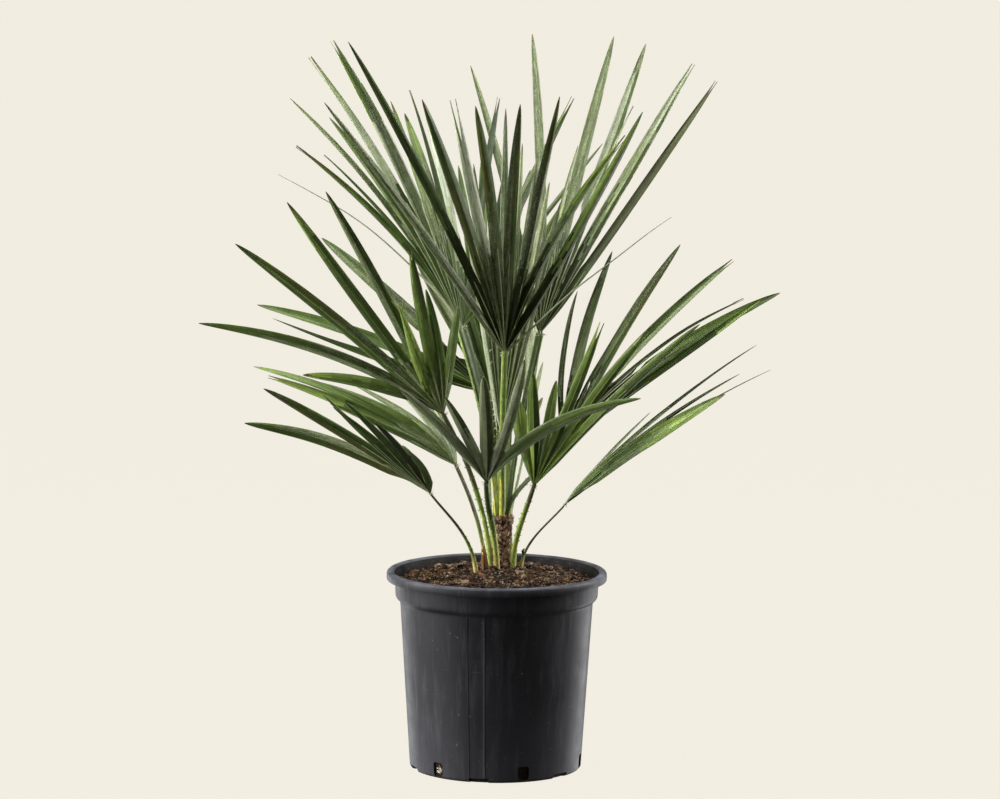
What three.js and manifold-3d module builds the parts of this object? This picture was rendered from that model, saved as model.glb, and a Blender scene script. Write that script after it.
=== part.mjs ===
// Potted European fan palm, in millimetres, +Z up.
// The origin is the centre of the pot's flat underside; the plant's front looks along -Y.
import * as THREE from 'three';
import { mergeVertices } from 'three/addons/utils/BufferGeometryUtils.js';
import Module from 'manifold-3d';

// ---------- pot ----------
const POT_HEIGHT = 253;
const LIP_RADIUS = 140;
const LIP_DROP = 11;
const RIM_MOUTH_RADIUS = 131;
const COLLAR_RADIUS = 128.6;
const COLLAR_BOTTOM = 219;
const BODY_TOP_RADIUS = 122.6;
const BODY_TOP = 215;
const BASE_RADIUS = 109;
const BASE_CORNER = 5;
const WALL = 2.2;
const FLOOR = 3;
const POT_SIDES = 40;
const HOLE_COUNT = 6;
const HOLE_WIDTH = 15;
const HOLE_LOW = 3.2;
const HOLE_HIGH = 21;
const HOLE_FIRST_AZIMUTH = 18.9 - 90;   // degrees from +X
const NOTCH_WIDTH = 25;
const NOTCH_HEIGHT = 6;
const NOTCH_DEPTH = 7;

// ---------- soil ----------
const GAP = 0.35;                        // clearance between neighbouring solids
const SOIL_EDGE_RADIUS = 126;
const SOIL_EDGE = 240.5;
const SOIL_RISE = 14.5;

// ---------- stem ----------
const STEM_X = 6, STEM_Y = 24;
const STEM_TOP = 320;
const STEM_PROFILE = [[0, 10.4], [0.12, 9], [0.3, 8.2], [0.62, 9.8], [0.9, 12], [1, 11.4]];   // share of height, radius
const STEM_SIDES = 14;

// ---------- fronds ----------
const PETIOLE_SIDES = 6;
const PETIOLE_STEPS = 6;
const PETIOLE_THICKNESS = 0.62;          // of its width
const PETIOLE_FOOT_WIDTH = 6.2;
const BLADE_THICKNESS = 2.4;
const HASTULA_RADIUS = 3.4;
const HASTULA_GAP = 1.2;                 // from the petiole's end to the blade
const JOINED_SHARE = 0.27;               // of a leaflet's length that is joined to its neighbour
const FINGER_STATIONS = [[0.45, 1], [0.7, 0.9], [0.88, 0.6]];   // share of length, share of width
const FINGER_FILL = 0.9;                 // solid leaflets are a little narrower than the widths told

// Each frond: foot and hastula in millimetres, aim = azimuth, rise and turn of the middle leaflet in degrees,
// stalk = the stalk's width at its middle and at its top.
// Each leaflet: angle in the fan (degrees), length, sideways bend at the tip, bend out of the fan at the tip, width.
const FRONDS = [
  { name: 'upper_front', foot: [6, 15.5, 321], hastula: [8, -38, 536], aim: [-78, 69, 169], stalk: [8, 8],
    leaflets: [[-33.4, 452, -17, -10, 9], [-24.6, 516, -35, 8, 10], [-17.6, 398, -28, 12, 14], [-14.6, 359, 1, -26, 13], [-7.7, 360, -25, 10, 13], [-3.2, 346, 8, 0, 14], [8.2, 359, -17, 12, 13], [11.3, 304, 85, -12, 13], [29.8, 356, -30, 8, 12.5], [45.2, 269, 19, 16, 3]] },
  { name: 'upper_right', foot: [14.5, 24, 321], hastula: [52, 28, 553], aim: [62, 60, 0], stalk: [8, 9],
    leaflets: [[-25.2, 416, -22, 10, 9], [-12.4, 439, -32, 0, 12], [-7.5, 272, 12, -12, 5], [-1.2, 417, 9, 12, 15], [2.2, 322, 42, 8, 4.6], [7.5, 420, -17, -10, 15], [14.7, 401, 24, 10, 15], [24.5, 397, -10, 0, 11]] },
  { name: 'upper_left', foot: [0, 18, 321], hastula: [-46, -8, 564], aim: [133, 57, 6], stalk: [8.6, 11],
    leaflets: [[-13.1, 281, -110, -12, 3.2], [-9.5, 293, -99, 12, 10], [-7.3, 272, -67, 0, 4.4], [-5.5, 361, -74, -12, 7], [-2.7, 310, -65, 12, 10.5], [0.1, 400, -63, 0, 11], [4.7, 424, -44, -12, 14], [8.6, 319, -25, 12, 8.5], [14.4, 312, -27, -6, 13], [18.6, 333, -50, 12, 6], [21.2, 328, -29, -12, 12], [31.6, 372, 9, 0, 9], [45.2, 393, 0, 48, 9.5], [54.5, 408, 10, 0, 4.6]] },
  { name: 'inner_left', foot: [-2.5, 24, 321], hastula: [-8, 40, 475], aim: [147, 43, 47], stalk: [6, 5],
    leaflets: [[-35.8, 301, 23, -12, 9], [-21.6, 318, -54, 12, 14], [-17.8, 128, 17, 16, 9], [-5.4, 312, -10, -12, 14], [8.6, 194, -3, 28, 11], [21.7, 208, 0, 0, 11], [34.7, 193, 0, 4, 10]] },
  { name: 'mid_left', foot: [-8, 22], hastula: [-69, -22, 456], aim: [-150, 47, 127], stalk: [6.5, 5.5],
    leaflets: [[-17.3, 172, -64, -12, 15], [-12.2, 321, -96, 12, 13], [-6, 356, -23, 0, 14], [3.4, 357, 1, -12, 13], [14.1, 358, -9, 12, 12], [25, 241, 6, 0, 13], [35.9, 176, -21, -12, 11], [42.5, 168, 0, 12, 10]] },
  { name: 'low_left', foot: [-14, 6], hastula: [-52, -30, 392], aim: [154, 52, 6], stalk: [7, 6],
    leaflets: [[-46, 194, 0, -17, 8], [-38, 263, 0, -57, 12], [-29, 271, 0, -86, 15], [-18, 200, 0, -72, 14], [-6, 163, 0, -53, 12], [7, 150, 0, -29, 11], [20, 158, 0, -25, 11], [33, 160, 0, -32, 10]] },
  { name: 'lowest_left', foot: [-26, -17], hastula: [-84, -95, 367], aim: [-133, 39, -173], stalk: [4.8, 3.8],
    leaflets: [[-36, 242, 0, 59, 14], [-24, 254, 0, 24, 12], [-12, 202, 0, -4, 13], [-1, 207, 0, 10, 13], [10, 237, 0, 10, 13], [22, 234, 0, 18, 12], [34, 244, 0, 30, 11]] },
  { name: 'low_front', foot: [0, 4], hastula: [-14, -85, 379], aim: [-83, 52, -177], stalk: [8, 6.5],
    leaflets: [[-29.2, 207, -23, 6, 12], [-17.6, 156, -17, -8, 12], [-2.8, 194, -10, 6, 16], [13.9, 211, -21, -10, 13], [23.7, 268, 66, 60, 18]] },
  { name: 'low_right_front', foot: [20, 20], hastula: [46, -45, 369], aim: [-51, 63, -146], stalk: [7.5, 5.6],
    leaflets: [[-32, 119, 12, -12, 13], [-17.3, 171, -2, 12, 14], [-3.3, 159, -12, 8, 12], [4.8, 242, -7, -12, 12], [12.1, 266, 10, 12, 12], [19.2, 305, 30, 0, 11]] },
  { name: 'mid_right', foot: [12, 18, 321], hastula: [85, 12, 418], aim: [31, 56, -29], stalk: [6, 5],
    leaflets: [[-40.2, 208, 47, -12, 7], [-24.6, 257, 39, 12, 13], [-14.7, 152, 34, 8, 6], [-4.5, 298, 22, -12, 14], [2.9, 303, 77, 12, 14], [8.2, 277, 85, 0, 7], [17.6, 324, 65, -12, 17], [28.4, 309, 10, 12, 10]] },
  { name: 'low_right', foot: [30, 26], hastula: [87, -5, 341], aim: [-3, 46, 172], stalk: [3.8, 3.4],
    leaflets: [[-22, 270, 0, 22, 14], [-12, 315, 0, 50, 7], [-1, 272, 0, 39, 10], [11, 313, 0, 44, 8], [22, 163, 0, 7, 9]] },
  { name: 'back_low_left', foot: [-6, 36], hastula: [-14, 112, 440], aim: [94, 41, 86], stalk: [5.6, 4.6],
    leaflets: [[-35.2, 210, 0, 2, 10.2], [-25.1, 218, 0, 2, 11.1], [-15.1, 243, 0, 2, 11.7], [-5, 237, 0, 2, 12], [5, 249, 0, 2, 12], [15.1, 231, 0, 2, 11.7], [25.1, 230, 0, 2, 11.1], [35.2, 200, 0, 2, 10.2]] },
  { name: 'back_low_right', foot: [8, 43], hastula: [34, 135, 392], aim: [84, 32, 92], stalk: [5.6, 4.6],
    leaflets: [[-32.5, 197, 0, -1, 10.2], [-21.7, 207, 0, -1, 11.2], [-10.8, 231, 0, -1, 11.8], [0, 223, 0, -1, 12], [10.8, 231, 0, -1, 11.8], [21.7, 207, 0, -1, 11.2], [32.5, 197, 0, -1, 10.2]] },
  { name: 'upper_back', foot: [6, 32.5, 321], hastula: [-21, 85, 543], aim: [91, 54, -4], stalk: [8, 8.5],
    leaflets: [[-28.4, 223, 8, 8, 10.2], [-21.3, 229, 0, 16, 11], [-14.2, 254, 0, 8, 11.6], [-7.1, 249, 0, 8, 11.9], [0, 265, 0, 8, 12], [7.1, 249, 0, 8, 11.9], [14.2, 254, 0, 8, 11.6], [21.3, 229, 0, 8, 11], [28.4, 223, 0, 8, 10.2]] },
  { name: 'back_right', foot: [17, 36], hastula: [20, 84, 492], aim: [72, 44, 59], stalk: [5.6, 4.6],
    leaflets: [[-25.9, 210, 0, 10, 10.2], [-18.5, 218, 0, 10, 11.1], [-11.1, 243, 0, 10, 11.7], [-3.7, 237, 0, 10, 12], [3.7, 249, 0, 10, 12], [11.1, 231, 0, 10, 11.7], [18.5, 230, 0, 10, 11.1], [25.9, 200, 0, 18, 10.2]] },
  { name: 'back_left', foot: [0, 30, 321], hastula: [-34, 78, 505], aim: [115, 46, 126], stalk: [5.6, 4.6],
    leaflets: [[-24.5, 210, 0, -3, 10.2], [-17.5, 218, 0, -11, 11.1], [-10.5, 243, 0, -11, 11.7], [-3.5, 237, 0, -11, 12], [3.5, 249, 0, -11, 12], [10.5, 231, 0, -11, 11.7], [17.5, 230, 0, -3, 11.1], [24.5, 200, 8, -11, 10.2]] },
  { name: 'centre', foot: [6, 24, 321], hastula: [4, 8, 430], aim: [90, 88, 0], stalk: [7, 6.4],
    leaflets: [[-9.5, 300, 0, 0, 6.4], [-6.3, 341, 0, 0, 6.8], [-3, 352, 0, 0, 7], [0.4, 409, 0, 0, 7], [3.8, 366, 0, 0, 7], [7, 343, 0, 0, 7], [10.5, 322, 0, 0, 6.8], [14, 300, 0, 0, 6.4]] },];

// ---------- small helpers ----------
const rad = (d) => d * Math.PI / 180;
const V = (x, y, z) => new THREE.Vector3(x, y, z);

function solid(points, faces) {
  // closed mesh from shared points; the faces are turned outwards if they enclose a negative volume
  let volume = 0;
  for (const [a, b, c] of faces) volume += points[a].dot(points[b].clone().cross(points[c]));
  const list = volume < 0 ? faces.map(([a, b, c]) => [a, c, b]) : faces;
  const g = new THREE.BufferGeometry();
  g.setAttribute('position', new THREE.Float32BufferAttribute(points.flatMap((p) => [p.x, p.y, p.z]), 3));
  g.setIndex(list.flat());
  return g;
}

function material(color, roughness) {
  return new THREE.MeshStandardMaterial({ color, roughness, metalness: 0, side: THREE.DoubleSide });
}

const wasm = await Module();
wasm.setup();

function toManifold(geometry) {
  let g = geometry.clone();
  g.deleteAttribute('normal');
  g.deleteAttribute('uv');
  g = mergeVertices(g, 1e-4);
  return new wasm.Manifold(new wasm.Mesh({
    numProp: 3,
    vertProperties: new Float32Array(g.attributes.position.array),
    triVerts: new Uint32Array(g.index.array),
  }));
}

function fromManifold(m) {
  const mesh = m.getMesh();
  const g = new THREE.BufferGeometry();
  g.setAttribute('position', new THREE.BufferAttribute(new Float32Array(mesh.vertProperties), 3));
  g.setIndex(new THREE.BufferAttribute(new Uint32Array(mesh.triVerts), 1));
  return g;
}

function lathe(profile, sides) {
  const g = new THREE.LatheGeometry(profile.map(([r, z]) => new THREE.Vector2(r, z)), sides);
  g.rotateX(Math.PI / 2);
  return g;
}

// ---------- pot ----------
function bodyRadius(z) {
  return BASE_RADIUS + (BODY_TOP_RADIUS - BASE_RADIUS) * z / BODY_TOP;
}

function potGeometry() {
  const profile = [
    [0, 0], [BASE_RADIUS - BASE_CORNER, 0], [BASE_RADIUS - 1.2, 1.6], [bodyRadius(BASE_CORNER), BASE_CORNER],
    [BODY_TOP_RADIUS, BODY_TOP], [COLLAR_RADIUS - 1.6, COLLAR_BOTTOM + 0.6], [COLLAR_RADIUS, COLLAR_BOTTOM + 4],
    [COLLAR_RADIUS + 0.6, POT_HEIGHT - 3.4], [LIP_RADIUS - 2.6, POT_HEIGHT - 3.4], [LIP_RADIUS - 2.6, POT_HEIGHT - LIP_DROP],
    [LIP_RADIUS - 0.6, POT_HEIGHT - LIP_DROP], [LIP_RADIUS, POT_HEIGHT - 3.2], [LIP_RADIUS - 1.8, POT_HEIGHT - 0.6], [LIP_RADIUS - 4.4, POT_HEIGHT],
    [RIM_MOUTH_RADIUS, POT_HEIGHT], [COLLAR_RADIUS - WALL, POT_HEIGHT - 6], [COLLAR_RADIUS - WALL, COLLAR_BOTTOM + 2],
    [BODY_TOP_RADIUS - WALL, BODY_TOP], [bodyRadius(FLOOR) - WALL, FLOOR], [0, FLOOR],
  ];
  let pot = toManifold(lathe(profile, POT_SIDES));
  const step = 360 / HOLE_COUNT;
  for (let i = 0; i < HOLE_COUNT; i++) {
    const hole = new THREE.BoxGeometry(16, HOLE_WIDTH, HOLE_HIGH - HOLE_LOW);
    hole.translate(BASE_RADIUS - 1, 0, (HOLE_HIGH + HOLE_LOW) / 2);
    hole.rotateZ(rad(HOLE_FIRST_AZIMUTH + i * step));
    pot = pot.subtract(toManifold(hole));
    const notch = new THREE.BoxGeometry(2 * NOTCH_DEPTH, NOTCH_WIDTH, 2 * NOTCH_HEIGHT);
    notch.translate(BASE_RADIUS, 0, 0);
    notch.rotateZ(rad(HOLE_FIRST_AZIMUTH + (i + 0.5) * step));
    pot = pot.subtract(toManifold(notch));
  }
  return fromManifold(pot);
}

// ---------- soil ----------
function soilHeight(x, y) {
  const r = Math.hypot(x, y) / SOIL_EDGE_RADIUS;
  return SOIL_EDGE + SOIL_RISE * (1 - r * r);
}

function soilGeometry() {
  const low = FLOOR + GAP, inside = (z) => bodyRadius(z) - WALL - GAP;
  const top = [1, 0.86, 0.66, 0.44, 0.22].map((k) => [k * (SOIL_EDGE_RADIUS - GAP), soilHeight(k * SOIL_EDGE_RADIUS, 0)]);
  return lathe([[0, low], [inside(low), low], [inside(BODY_TOP), BODY_TOP + 0.4], [COLLAR_RADIUS - WALL - GAP, COLLAR_BOTTOM + 3.6], ...top, [0, soilHeight(0, 0)]], POT_SIDES);
}

// ---------- stem ----------
function stemGeometry() {
  const foot = soilHeight(STEM_X, STEM_Y - 12) + GAP, height = STEM_TOP - foot;
  const profile = STEM_PROFILE.map(([k, r]) => [r, foot + k * height]);
  const g = lathe([[0, foot], ...profile, [0, STEM_TOP]], STEM_SIDES);
  g.translate(STEM_X, STEM_Y, 0);
  return g;
}

// ---------- fronds ----------
function fanFrame([azimuth, rise, turn]) {
  const a = rad(azimuth), e = rad(rise), t = rad(turn);
  const middle = V(Math.cos(e) * Math.cos(a), Math.cos(e) * Math.sin(a), Math.sin(e));
  const level = middle.clone().cross(V(0, 0, 1)).normalize();
  const up = level.clone().cross(middle);
  const side = level.multiplyScalar(Math.cos(t)).addScaledVector(up, Math.sin(t));
  return { middle, side, face: side.clone().cross(middle) };
}

function leafletPoint(frond, frame, leaflet, share, offset = 0) {
  const [angle, length, bend, lift] = leaflet, a = rad(angle);
  const along = frame.middle.clone().multiplyScalar(Math.cos(a)).addScaledVector(frame.side, Math.sin(a));
  const across = frame.side.clone().multiplyScalar(Math.cos(a)).addScaledVector(frame.middle, -Math.sin(a));
  const tangent = along.clone().multiplyScalar(length).addScaledVector(across, 2 * share * bend).normalize();
  const edge = tangent.clone().cross(frame.face).normalize();
  if (edge.dot(across) < 0) edge.negate();
  return V(...frond.hastula).addScaledVector(along, length * share)
    .addScaledVector(across, share * share * bend).addScaledVector(frame.face, share * share * lift)
    .addScaledVector(edge, offset);
}

function bladeGeometry(frond) {
  const frame = fanFrame(frond.aim), L = frond.leaflets, n = L.length;
  // boundaries between neighbours: a point on the inner arc and the notch where they part
  const inner = [], notch = [];
  for (let i = 0; i <= n; i++) {
    const left = L[Math.max(i - 1, 0)], right = L[Math.min(i, n - 1)];
    const half = i === 0 ? -0.5 * left[4] : i === n ? 0.5 * right[4] : 0;
    const reach = JOINED_SHARE * Math.min(left[1], right[1]);
    const angle = (left[0] + right[0]) / 2 + (i === 0 ? -14 : i === n ? 14 : 0);
    inner.push(leafletPoint(frond, frame, [angle, HASTULA_RADIUS, 0, 0, 0], 1));
    const a = leafletPoint(frond, frame, left, reach / left[1], half * FINGER_FILL);
    const b = leafletPoint(frond, frame, right, reach / right[1], half * FINGER_FILL);
    notch.push(a.add(b).multiplyScalar(0.5));
  }
  const top = [...inner, ...notch], faces = [], outline = [];
  for (let i = 0; i < n; i++) {
    const left = [], right = [], half = L[i][4] * FINGER_FILL / 2;
    for (const [share, width] of FINGER_STATIONS) {
      left.push(top.push(leafletPoint(frond, frame, L[i], share, -half * width)) - 1);
      right.push(top.push(leafletPoint(frond, frame, L[i], share, half * width)) - 1);
    }
    const tip = top.push(leafletPoint(frond, frame, L[i], 1)) - 1;
    const a = [i, n + 1 + i, ...left], b = [i + 1, n + 2 + i, ...right];
    for (let k = 0; k + 1 < a.length; k++) faces.push([a[k], b[k], b[k + 1]], [a[k], b[k + 1], a[k + 1]]);
    faces.push([a.at(-1), b.at(-1), tip]);
    if (i === 0) outline.push(i);
    outline.push(n + 1 + i, ...left, tip, ...right.reverse());
  }
  outline.push(2 * n + 1, n);
  for (let i = n - 1; i >= 1; i--) outline.push(i);
  // the same sheet on the other side, and a wall along the outline
  const count = top.length, half = BLADE_THICKNESS / 2;
  const points = [...top.map((p) => p.clone().addScaledVector(frame.face, half)), ...top.map((p) => p.clone().addScaledVector(frame.face, -half))];
  const all = faces.flatMap(([a, b, c]) => [[a, b, c], [a + count, c + count, b + count]]);
  for (let i = 0; i < outline.length; i++) {
    const a = outline[i], b = outline[(i + 1) % outline.length];
    all.push([a, b, b + count], [a, b + count, a + count]);
  }
  return solid(points, all);
}

function footPoint(frond) {
  // two numbers: a foot in the soil; three: a foot on the stem's tip
  const [x, y, z] = frond.foot;
  return V(x, y, z ?? soilHeight(x, y) + GAP + 0.2);
}

function petioleCurve(frond) {
  const foot = footPoint(frond), end = V(...frond.hastula), frame = fanFrame(frond.aim);
  const chord = end.clone().sub(foot), length = chord.length(), straight = chord.clone().normalize();
  const start = V(0, 0, 0.75).addScaledVector(straight, 0.25).normalize();
  const finish = straight.clone().add(frame.middle).normalize();
  end.addScaledVector(finish, -HASTULA_GAP);
  return new THREE.CubicBezierCurve3(foot, foot.clone().addScaledVector(start, length * 0.33), end.clone().addScaledVector(finish, -length * 0.33), end);
}

function petioleGeometry(frond) {
  const curve = petioleCurve(frond), points = [], faces = [], face = fanFrame(frond.aim).face;
  for (let k = 0; k <= PETIOLE_STEPS; k++) {
    const t = k / PETIOLE_STEPS, c = curve.getPoint(t), tangent = k === 0 ? V(0, 0, 1) : curve.getTangent(t);
    const wide = tangent.clone().cross(face).normalize(), thick = wide.clone().cross(tangent).normalize();
    const w = t < 0.5 ? THREE.MathUtils.lerp(PETIOLE_FOOT_WIDTH, frond.stalk[0], t * 2) : THREE.MathUtils.lerp(frond.stalk[0], frond.stalk[1], t * 2 - 1);
    for (let j = 0; j < PETIOLE_SIDES; j++) {
      const u = 2 * Math.PI * (j + 0.5) / PETIOLE_SIDES;
      points.push(c.clone().addScaledVector(wide, Math.cos(u) * w / 2).addScaledVector(thick, Math.sin(u) * w / 2 * PETIOLE_THICKNESS));
    }
  }
  const n = PETIOLE_SIDES;
  for (let k = 0; k < PETIOLE_STEPS; k++) {
    for (let j = 0; j < n; j++) {
      const a = k * n + j, b = k * n + (j + 1) % n;
      faces.push([a, b, b + n], [a, b + n, a + n]);
    }
  }
  for (let j = 1; j < n - 1; j++) faces.push([0, j + 1, j], [PETIOLE_STEPS * n, PETIOLE_STEPS * n + j, PETIOLE_STEPS * n + j + 1]);
  return solid(points, faces);
}

// ---------- spear: the youngest leaf, still closed ----------
const SPEAR = { foot: [12.5, 30.5, 321], top: [15, 31, 560], steps: 6, width: [5, 5.4, 6.4, 7.6, 7.2, 5, 1.2], thickness: 0.4 };

function spearGeometry() {
  const a = V(...SPEAR.foot), b = V(...SPEAR.top), points = [], faces = [], n = 6;
  for (let k = 0; k <= SPEAR.steps; k++) {
    const c = a.clone().lerp(b, k / SPEAR.steps), w = SPEAR.width[k] / 2;
    for (let j = 0; j < n; j++) {
      const u = 2 * Math.PI * j / n;
      points.push(c.clone().add(V(Math.cos(u) * w, Math.sin(u) * w * SPEAR.thickness, 0)));
    }
  }
  for (let k = 0; k < SPEAR.steps; k++) {
    for (let j = 0; j < n; j++) {
      const p = k * n + j, q = k * n + (j + 1) % n;
      faces.push([p, q, q + n], [p, q + n, p + n]);
    }
  }
  for (let j = 1; j < n - 1; j++) faces.push([0, j + 1, j], [SPEAR.steps * n, SPEAR.steps * n + j, SPEAR.steps * n + j + 1]);
  return solid(points, faces);
}

// ---------- assembly ----------
const palm = new THREE.Group();
palm.name = 'potted_fan_palm';

function add(parent, name, geometry, mat) {
  const mesh = new THREE.Mesh(geometry, mat);
  mesh.name = name;
  parent.add(mesh);
  return mesh;
}

const container = new THREE.Group();
palm.add(container);
add(container, 'pot', potGeometry(), material(0x23262b, 0.5));
add(container, 'soil', soilGeometry(), material(0x35281f, 1));

const plant = new THREE.Group();
palm.add(plant);
add(plant, 'stem', stemGeometry(), material(0x6b4a33, 0.95));
add(plant, 'spear', spearGeometry(), material(0x7d9a3c, 0.6));
for (const frond of FRONDS) {
  add(plant, `petiole_${frond.name}`, petioleGeometry(frond), material(0x5f7d3a, 0.6));
  add(plant, `blade_${frond.name}`, bladeGeometry(frond), material(0x44663a, 0.6));
}

export default palm;
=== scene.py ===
"""Looks of the potted fan palm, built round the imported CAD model.

Row frame: metres, +Z up, origin at the centre of the pot's underside, the front looks along -Y.
Shapes are worked out in millimetres and scaled when a piece is made.
"""

import math

import bpy
import numpy as np
from mathutils import Matrix, Vector


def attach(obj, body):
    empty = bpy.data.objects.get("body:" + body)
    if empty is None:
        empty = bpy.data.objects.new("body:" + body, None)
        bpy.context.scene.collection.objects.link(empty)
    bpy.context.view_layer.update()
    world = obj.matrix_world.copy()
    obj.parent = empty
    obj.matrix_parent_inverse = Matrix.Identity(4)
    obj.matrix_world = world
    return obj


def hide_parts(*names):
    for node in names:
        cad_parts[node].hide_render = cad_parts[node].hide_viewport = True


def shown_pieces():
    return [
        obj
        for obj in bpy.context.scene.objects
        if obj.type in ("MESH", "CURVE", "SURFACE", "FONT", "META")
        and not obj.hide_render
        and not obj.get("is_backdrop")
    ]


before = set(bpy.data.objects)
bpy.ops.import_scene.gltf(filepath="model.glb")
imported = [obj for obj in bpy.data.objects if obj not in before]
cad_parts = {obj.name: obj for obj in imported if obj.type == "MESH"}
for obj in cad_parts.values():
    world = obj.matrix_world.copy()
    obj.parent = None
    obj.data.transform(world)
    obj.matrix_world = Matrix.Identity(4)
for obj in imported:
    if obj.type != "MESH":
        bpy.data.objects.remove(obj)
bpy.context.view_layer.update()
ROOT = "root"
MM = 0.001
rng = np.random.default_rng(78)


# ---------------------------------------------------------------- small helpers
def unit(v):
    v = np.asarray(v, float)
    return v / np.maximum(np.linalg.norm(v, axis=-1, keepdims=True), 1e-12)


def lerp(a, b, t):
    return a + (b - a) * t


def smooth(t):
    t = np.clip(t, 0.0, 1.0)
    return t * t * (3 - 2 * t)


def hashed(ix, iy, seed):
    h = np.sin(ix * 127.1 + iy * 311.7 + seed * 74.7) * 43758.5453
    return h - np.floor(h)


def value_noise(x, y, seed=0):
    """Smooth noise in -1..1 over a plane, one bump for each unit."""
    ix, iy = np.floor(x), np.floor(y)
    fx, fy = smooth(x - ix), smooth(y - iy)
    a, b = hashed(ix, iy, seed), hashed(ix + 1, iy, seed)
    c, d = hashed(ix, iy + 1, seed), hashed(ix + 1, iy + 1, seed)
    return 2 * lerp(lerp(a, b, fx), lerp(c, d, fx), fy) - 1


def fractal(x, y, seed=0, octaves=4, gain=0.5):
    total, amp, norm = 0.0, 1.0, 0.0
    for k in range(octaves):
        total = total + amp * value_noise(x * 2**k, y * 2**k, seed + k)
        norm += amp
        amp *= gain
    return total / norm


class Pile:
    """Vertices and faces gathered for one piece, in millimetres."""

    def __init__(self):
        self.v, self.q, self.qm, self.t, self.tm, self.n, self.uv = [], [], [], [], [], 0, []
        self.mats = []

    def slot(self, mat):
        if mat not in self.mats:
            self.mats.append(mat)
        return self.mats.index(mat)

    def slots(self, mats):
        return np.array([self.slot(m) for m in mats])

    def points(self, v, uv=None):
        v = np.asarray(v, float).reshape(-1, 3)
        start = self.n
        self.v.append(v)
        self.uv.append(np.zeros((len(v), 2)) if uv is None else np.asarray(uv, float).reshape(-1, 2))
        self.n += len(v)
        return start

    def quads(self, q, mat):
        q = np.asarray(q, int).reshape(-1, 4)
        self.q.append(q)
        self.qm.append(np.broadcast_to(np.asarray(mat, int), (len(q),)) if np.ndim(mat) == 0 else np.asarray(mat, int).reshape(-1))

    def tris(self, t, mat):
        t = np.asarray(t, int).reshape(-1, 3)
        self.t.append(t)
        self.tm.append(np.broadcast_to(np.asarray(mat, int), (len(t),)) if np.ndim(mat) == 0 else np.asarray(mat, int).reshape(-1))

    def triangles(self):
        return 2 * sum(map(len, self.q)) + sum(map(len, self.t))

    def build(self, name, sharp=38.0, slot=None, replaces=()):
        mesh = bpy.data.meshes.new(name)
        v = np.concatenate(self.v) * MM
        q = np.concatenate(self.q) if self.q else np.zeros((0, 4), int)
        t = np.concatenate(self.t) if self.t else np.zeros((0, 3), int)
        mesh.vertices.add(len(v))
        mesh.vertices.foreach_set("co", v.astype(np.float32).ravel())
        loops = np.concatenate([q.ravel(), t.ravel()]).astype(np.int32)
        mesh.loops.add(len(loops))
        mesh.loops.foreach_set("vertex_index", loops)
        starts = np.concatenate([np.arange(len(q)) * 4, len(q) * 4 + np.arange(len(t)) * 3]).astype(np.int32)
        mesh.polygons.add(len(starts))
        mesh.polygons.foreach_set("loop_start", starts)
        index = np.concatenate([*self.qm, *self.tm]).astype(np.int32)
        mesh.polygons.foreach_set("material_index", index)
        mesh.polygons.foreach_set("use_smooth", np.ones(len(starts), bool))
        layer = mesh.uv_layers.new(name="leaf")
        uv = np.concatenate(self.uv)
        layer.data.foreach_set("uv", uv[loops].astype(np.float32).ravel())
        for m in self.mats:
            mesh.materials.append(m)
        mesh.update(calc_edges=True)
        mesh.validate(verbose=False)
        if sharp:
            mesh.set_sharp_from_angle(angle=math.radians(sharp))
        o = bpy.data.objects.new(name, mesh)
        bpy.context.scene.collection.objects.link(o)
        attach(o, ROOT)
        if replaces:
            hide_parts(*replaces)
        return o


def grid_faces(rows, cols, start=0, wrap=False):
    """Quads of a grid of rows x cols points; wrap joins the last column to the first."""
    r = np.arange(rows - 1)[:, None]
    c = np.arange(cols if wrap else cols - 1)[None, :]
    a = r * cols + c
    b = r * cols + (c + 1) % cols
    return (start + np.stack([a, b, b + cols, a + cols], -1)).reshape(-1, 4)


def shell(pile, a, b, mats_a, mats_b, mat_edge, uv=None):
    """A closed thin body between two grids of points, a outwards and b inwards, both rows x cols x 3.
    mats_a and mats_b give a material for each column of faces, or for each face."""
    rows, cols = a.shape[:2]
    uv2 = None if uv is None else np.concatenate([uv.reshape(-1, 2), uv.reshape(-1, 2)])
    s = pile.points(np.concatenate([a.reshape(-1, 3), b.reshape(-1, 3)]), uv2)
    n = rows * cols
    fa = grid_faces(rows, cols, s)
    fb = grid_faces(rows, cols, s + n)[:, ::-1]
    spread = lambda m: np.tile(np.asarray(m), rows - 1) if np.ndim(m) == 1 else np.asarray(m).ravel()
    pile.quads(fa, spread(mats_a))
    pile.quads(fb, spread(mats_b))
    i = np.arange(rows - 1) * cols
    left = np.stack([i, i + cols, i + cols + n, i + n], -1)
    right = np.stack([i + cols - 1, i + cols - 1 + n, i + 2 * cols - 1 + n, i + 2 * cols - 1], -1)
    j = np.arange(cols - 1)
    low = np.stack([j, j + n, j + 1 + n, j + 1], -1)
    k = (rows - 1) * cols + j
    high = np.stack([k, k + 1, k + 1 + n, k + n], -1)
    pile.quads(s + np.concatenate([left, right, low, high]), mat_edge)


def frames_along(p):
    """Tangent and two normals along polylines p, shaped n x k x 3."""
    t = unit(np.gradient(p, axis=1))
    ref = np.where(np.abs(t[:, :1, 2:3]) > 0.9, np.array([1.0, 0, 0]), np.array([0, 0, 1.0]))
    ref = np.broadcast_to(ref, t.shape)
    x = unit(np.cross(ref, t))
    y = np.cross(t, x)
    return t, x, y


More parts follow.
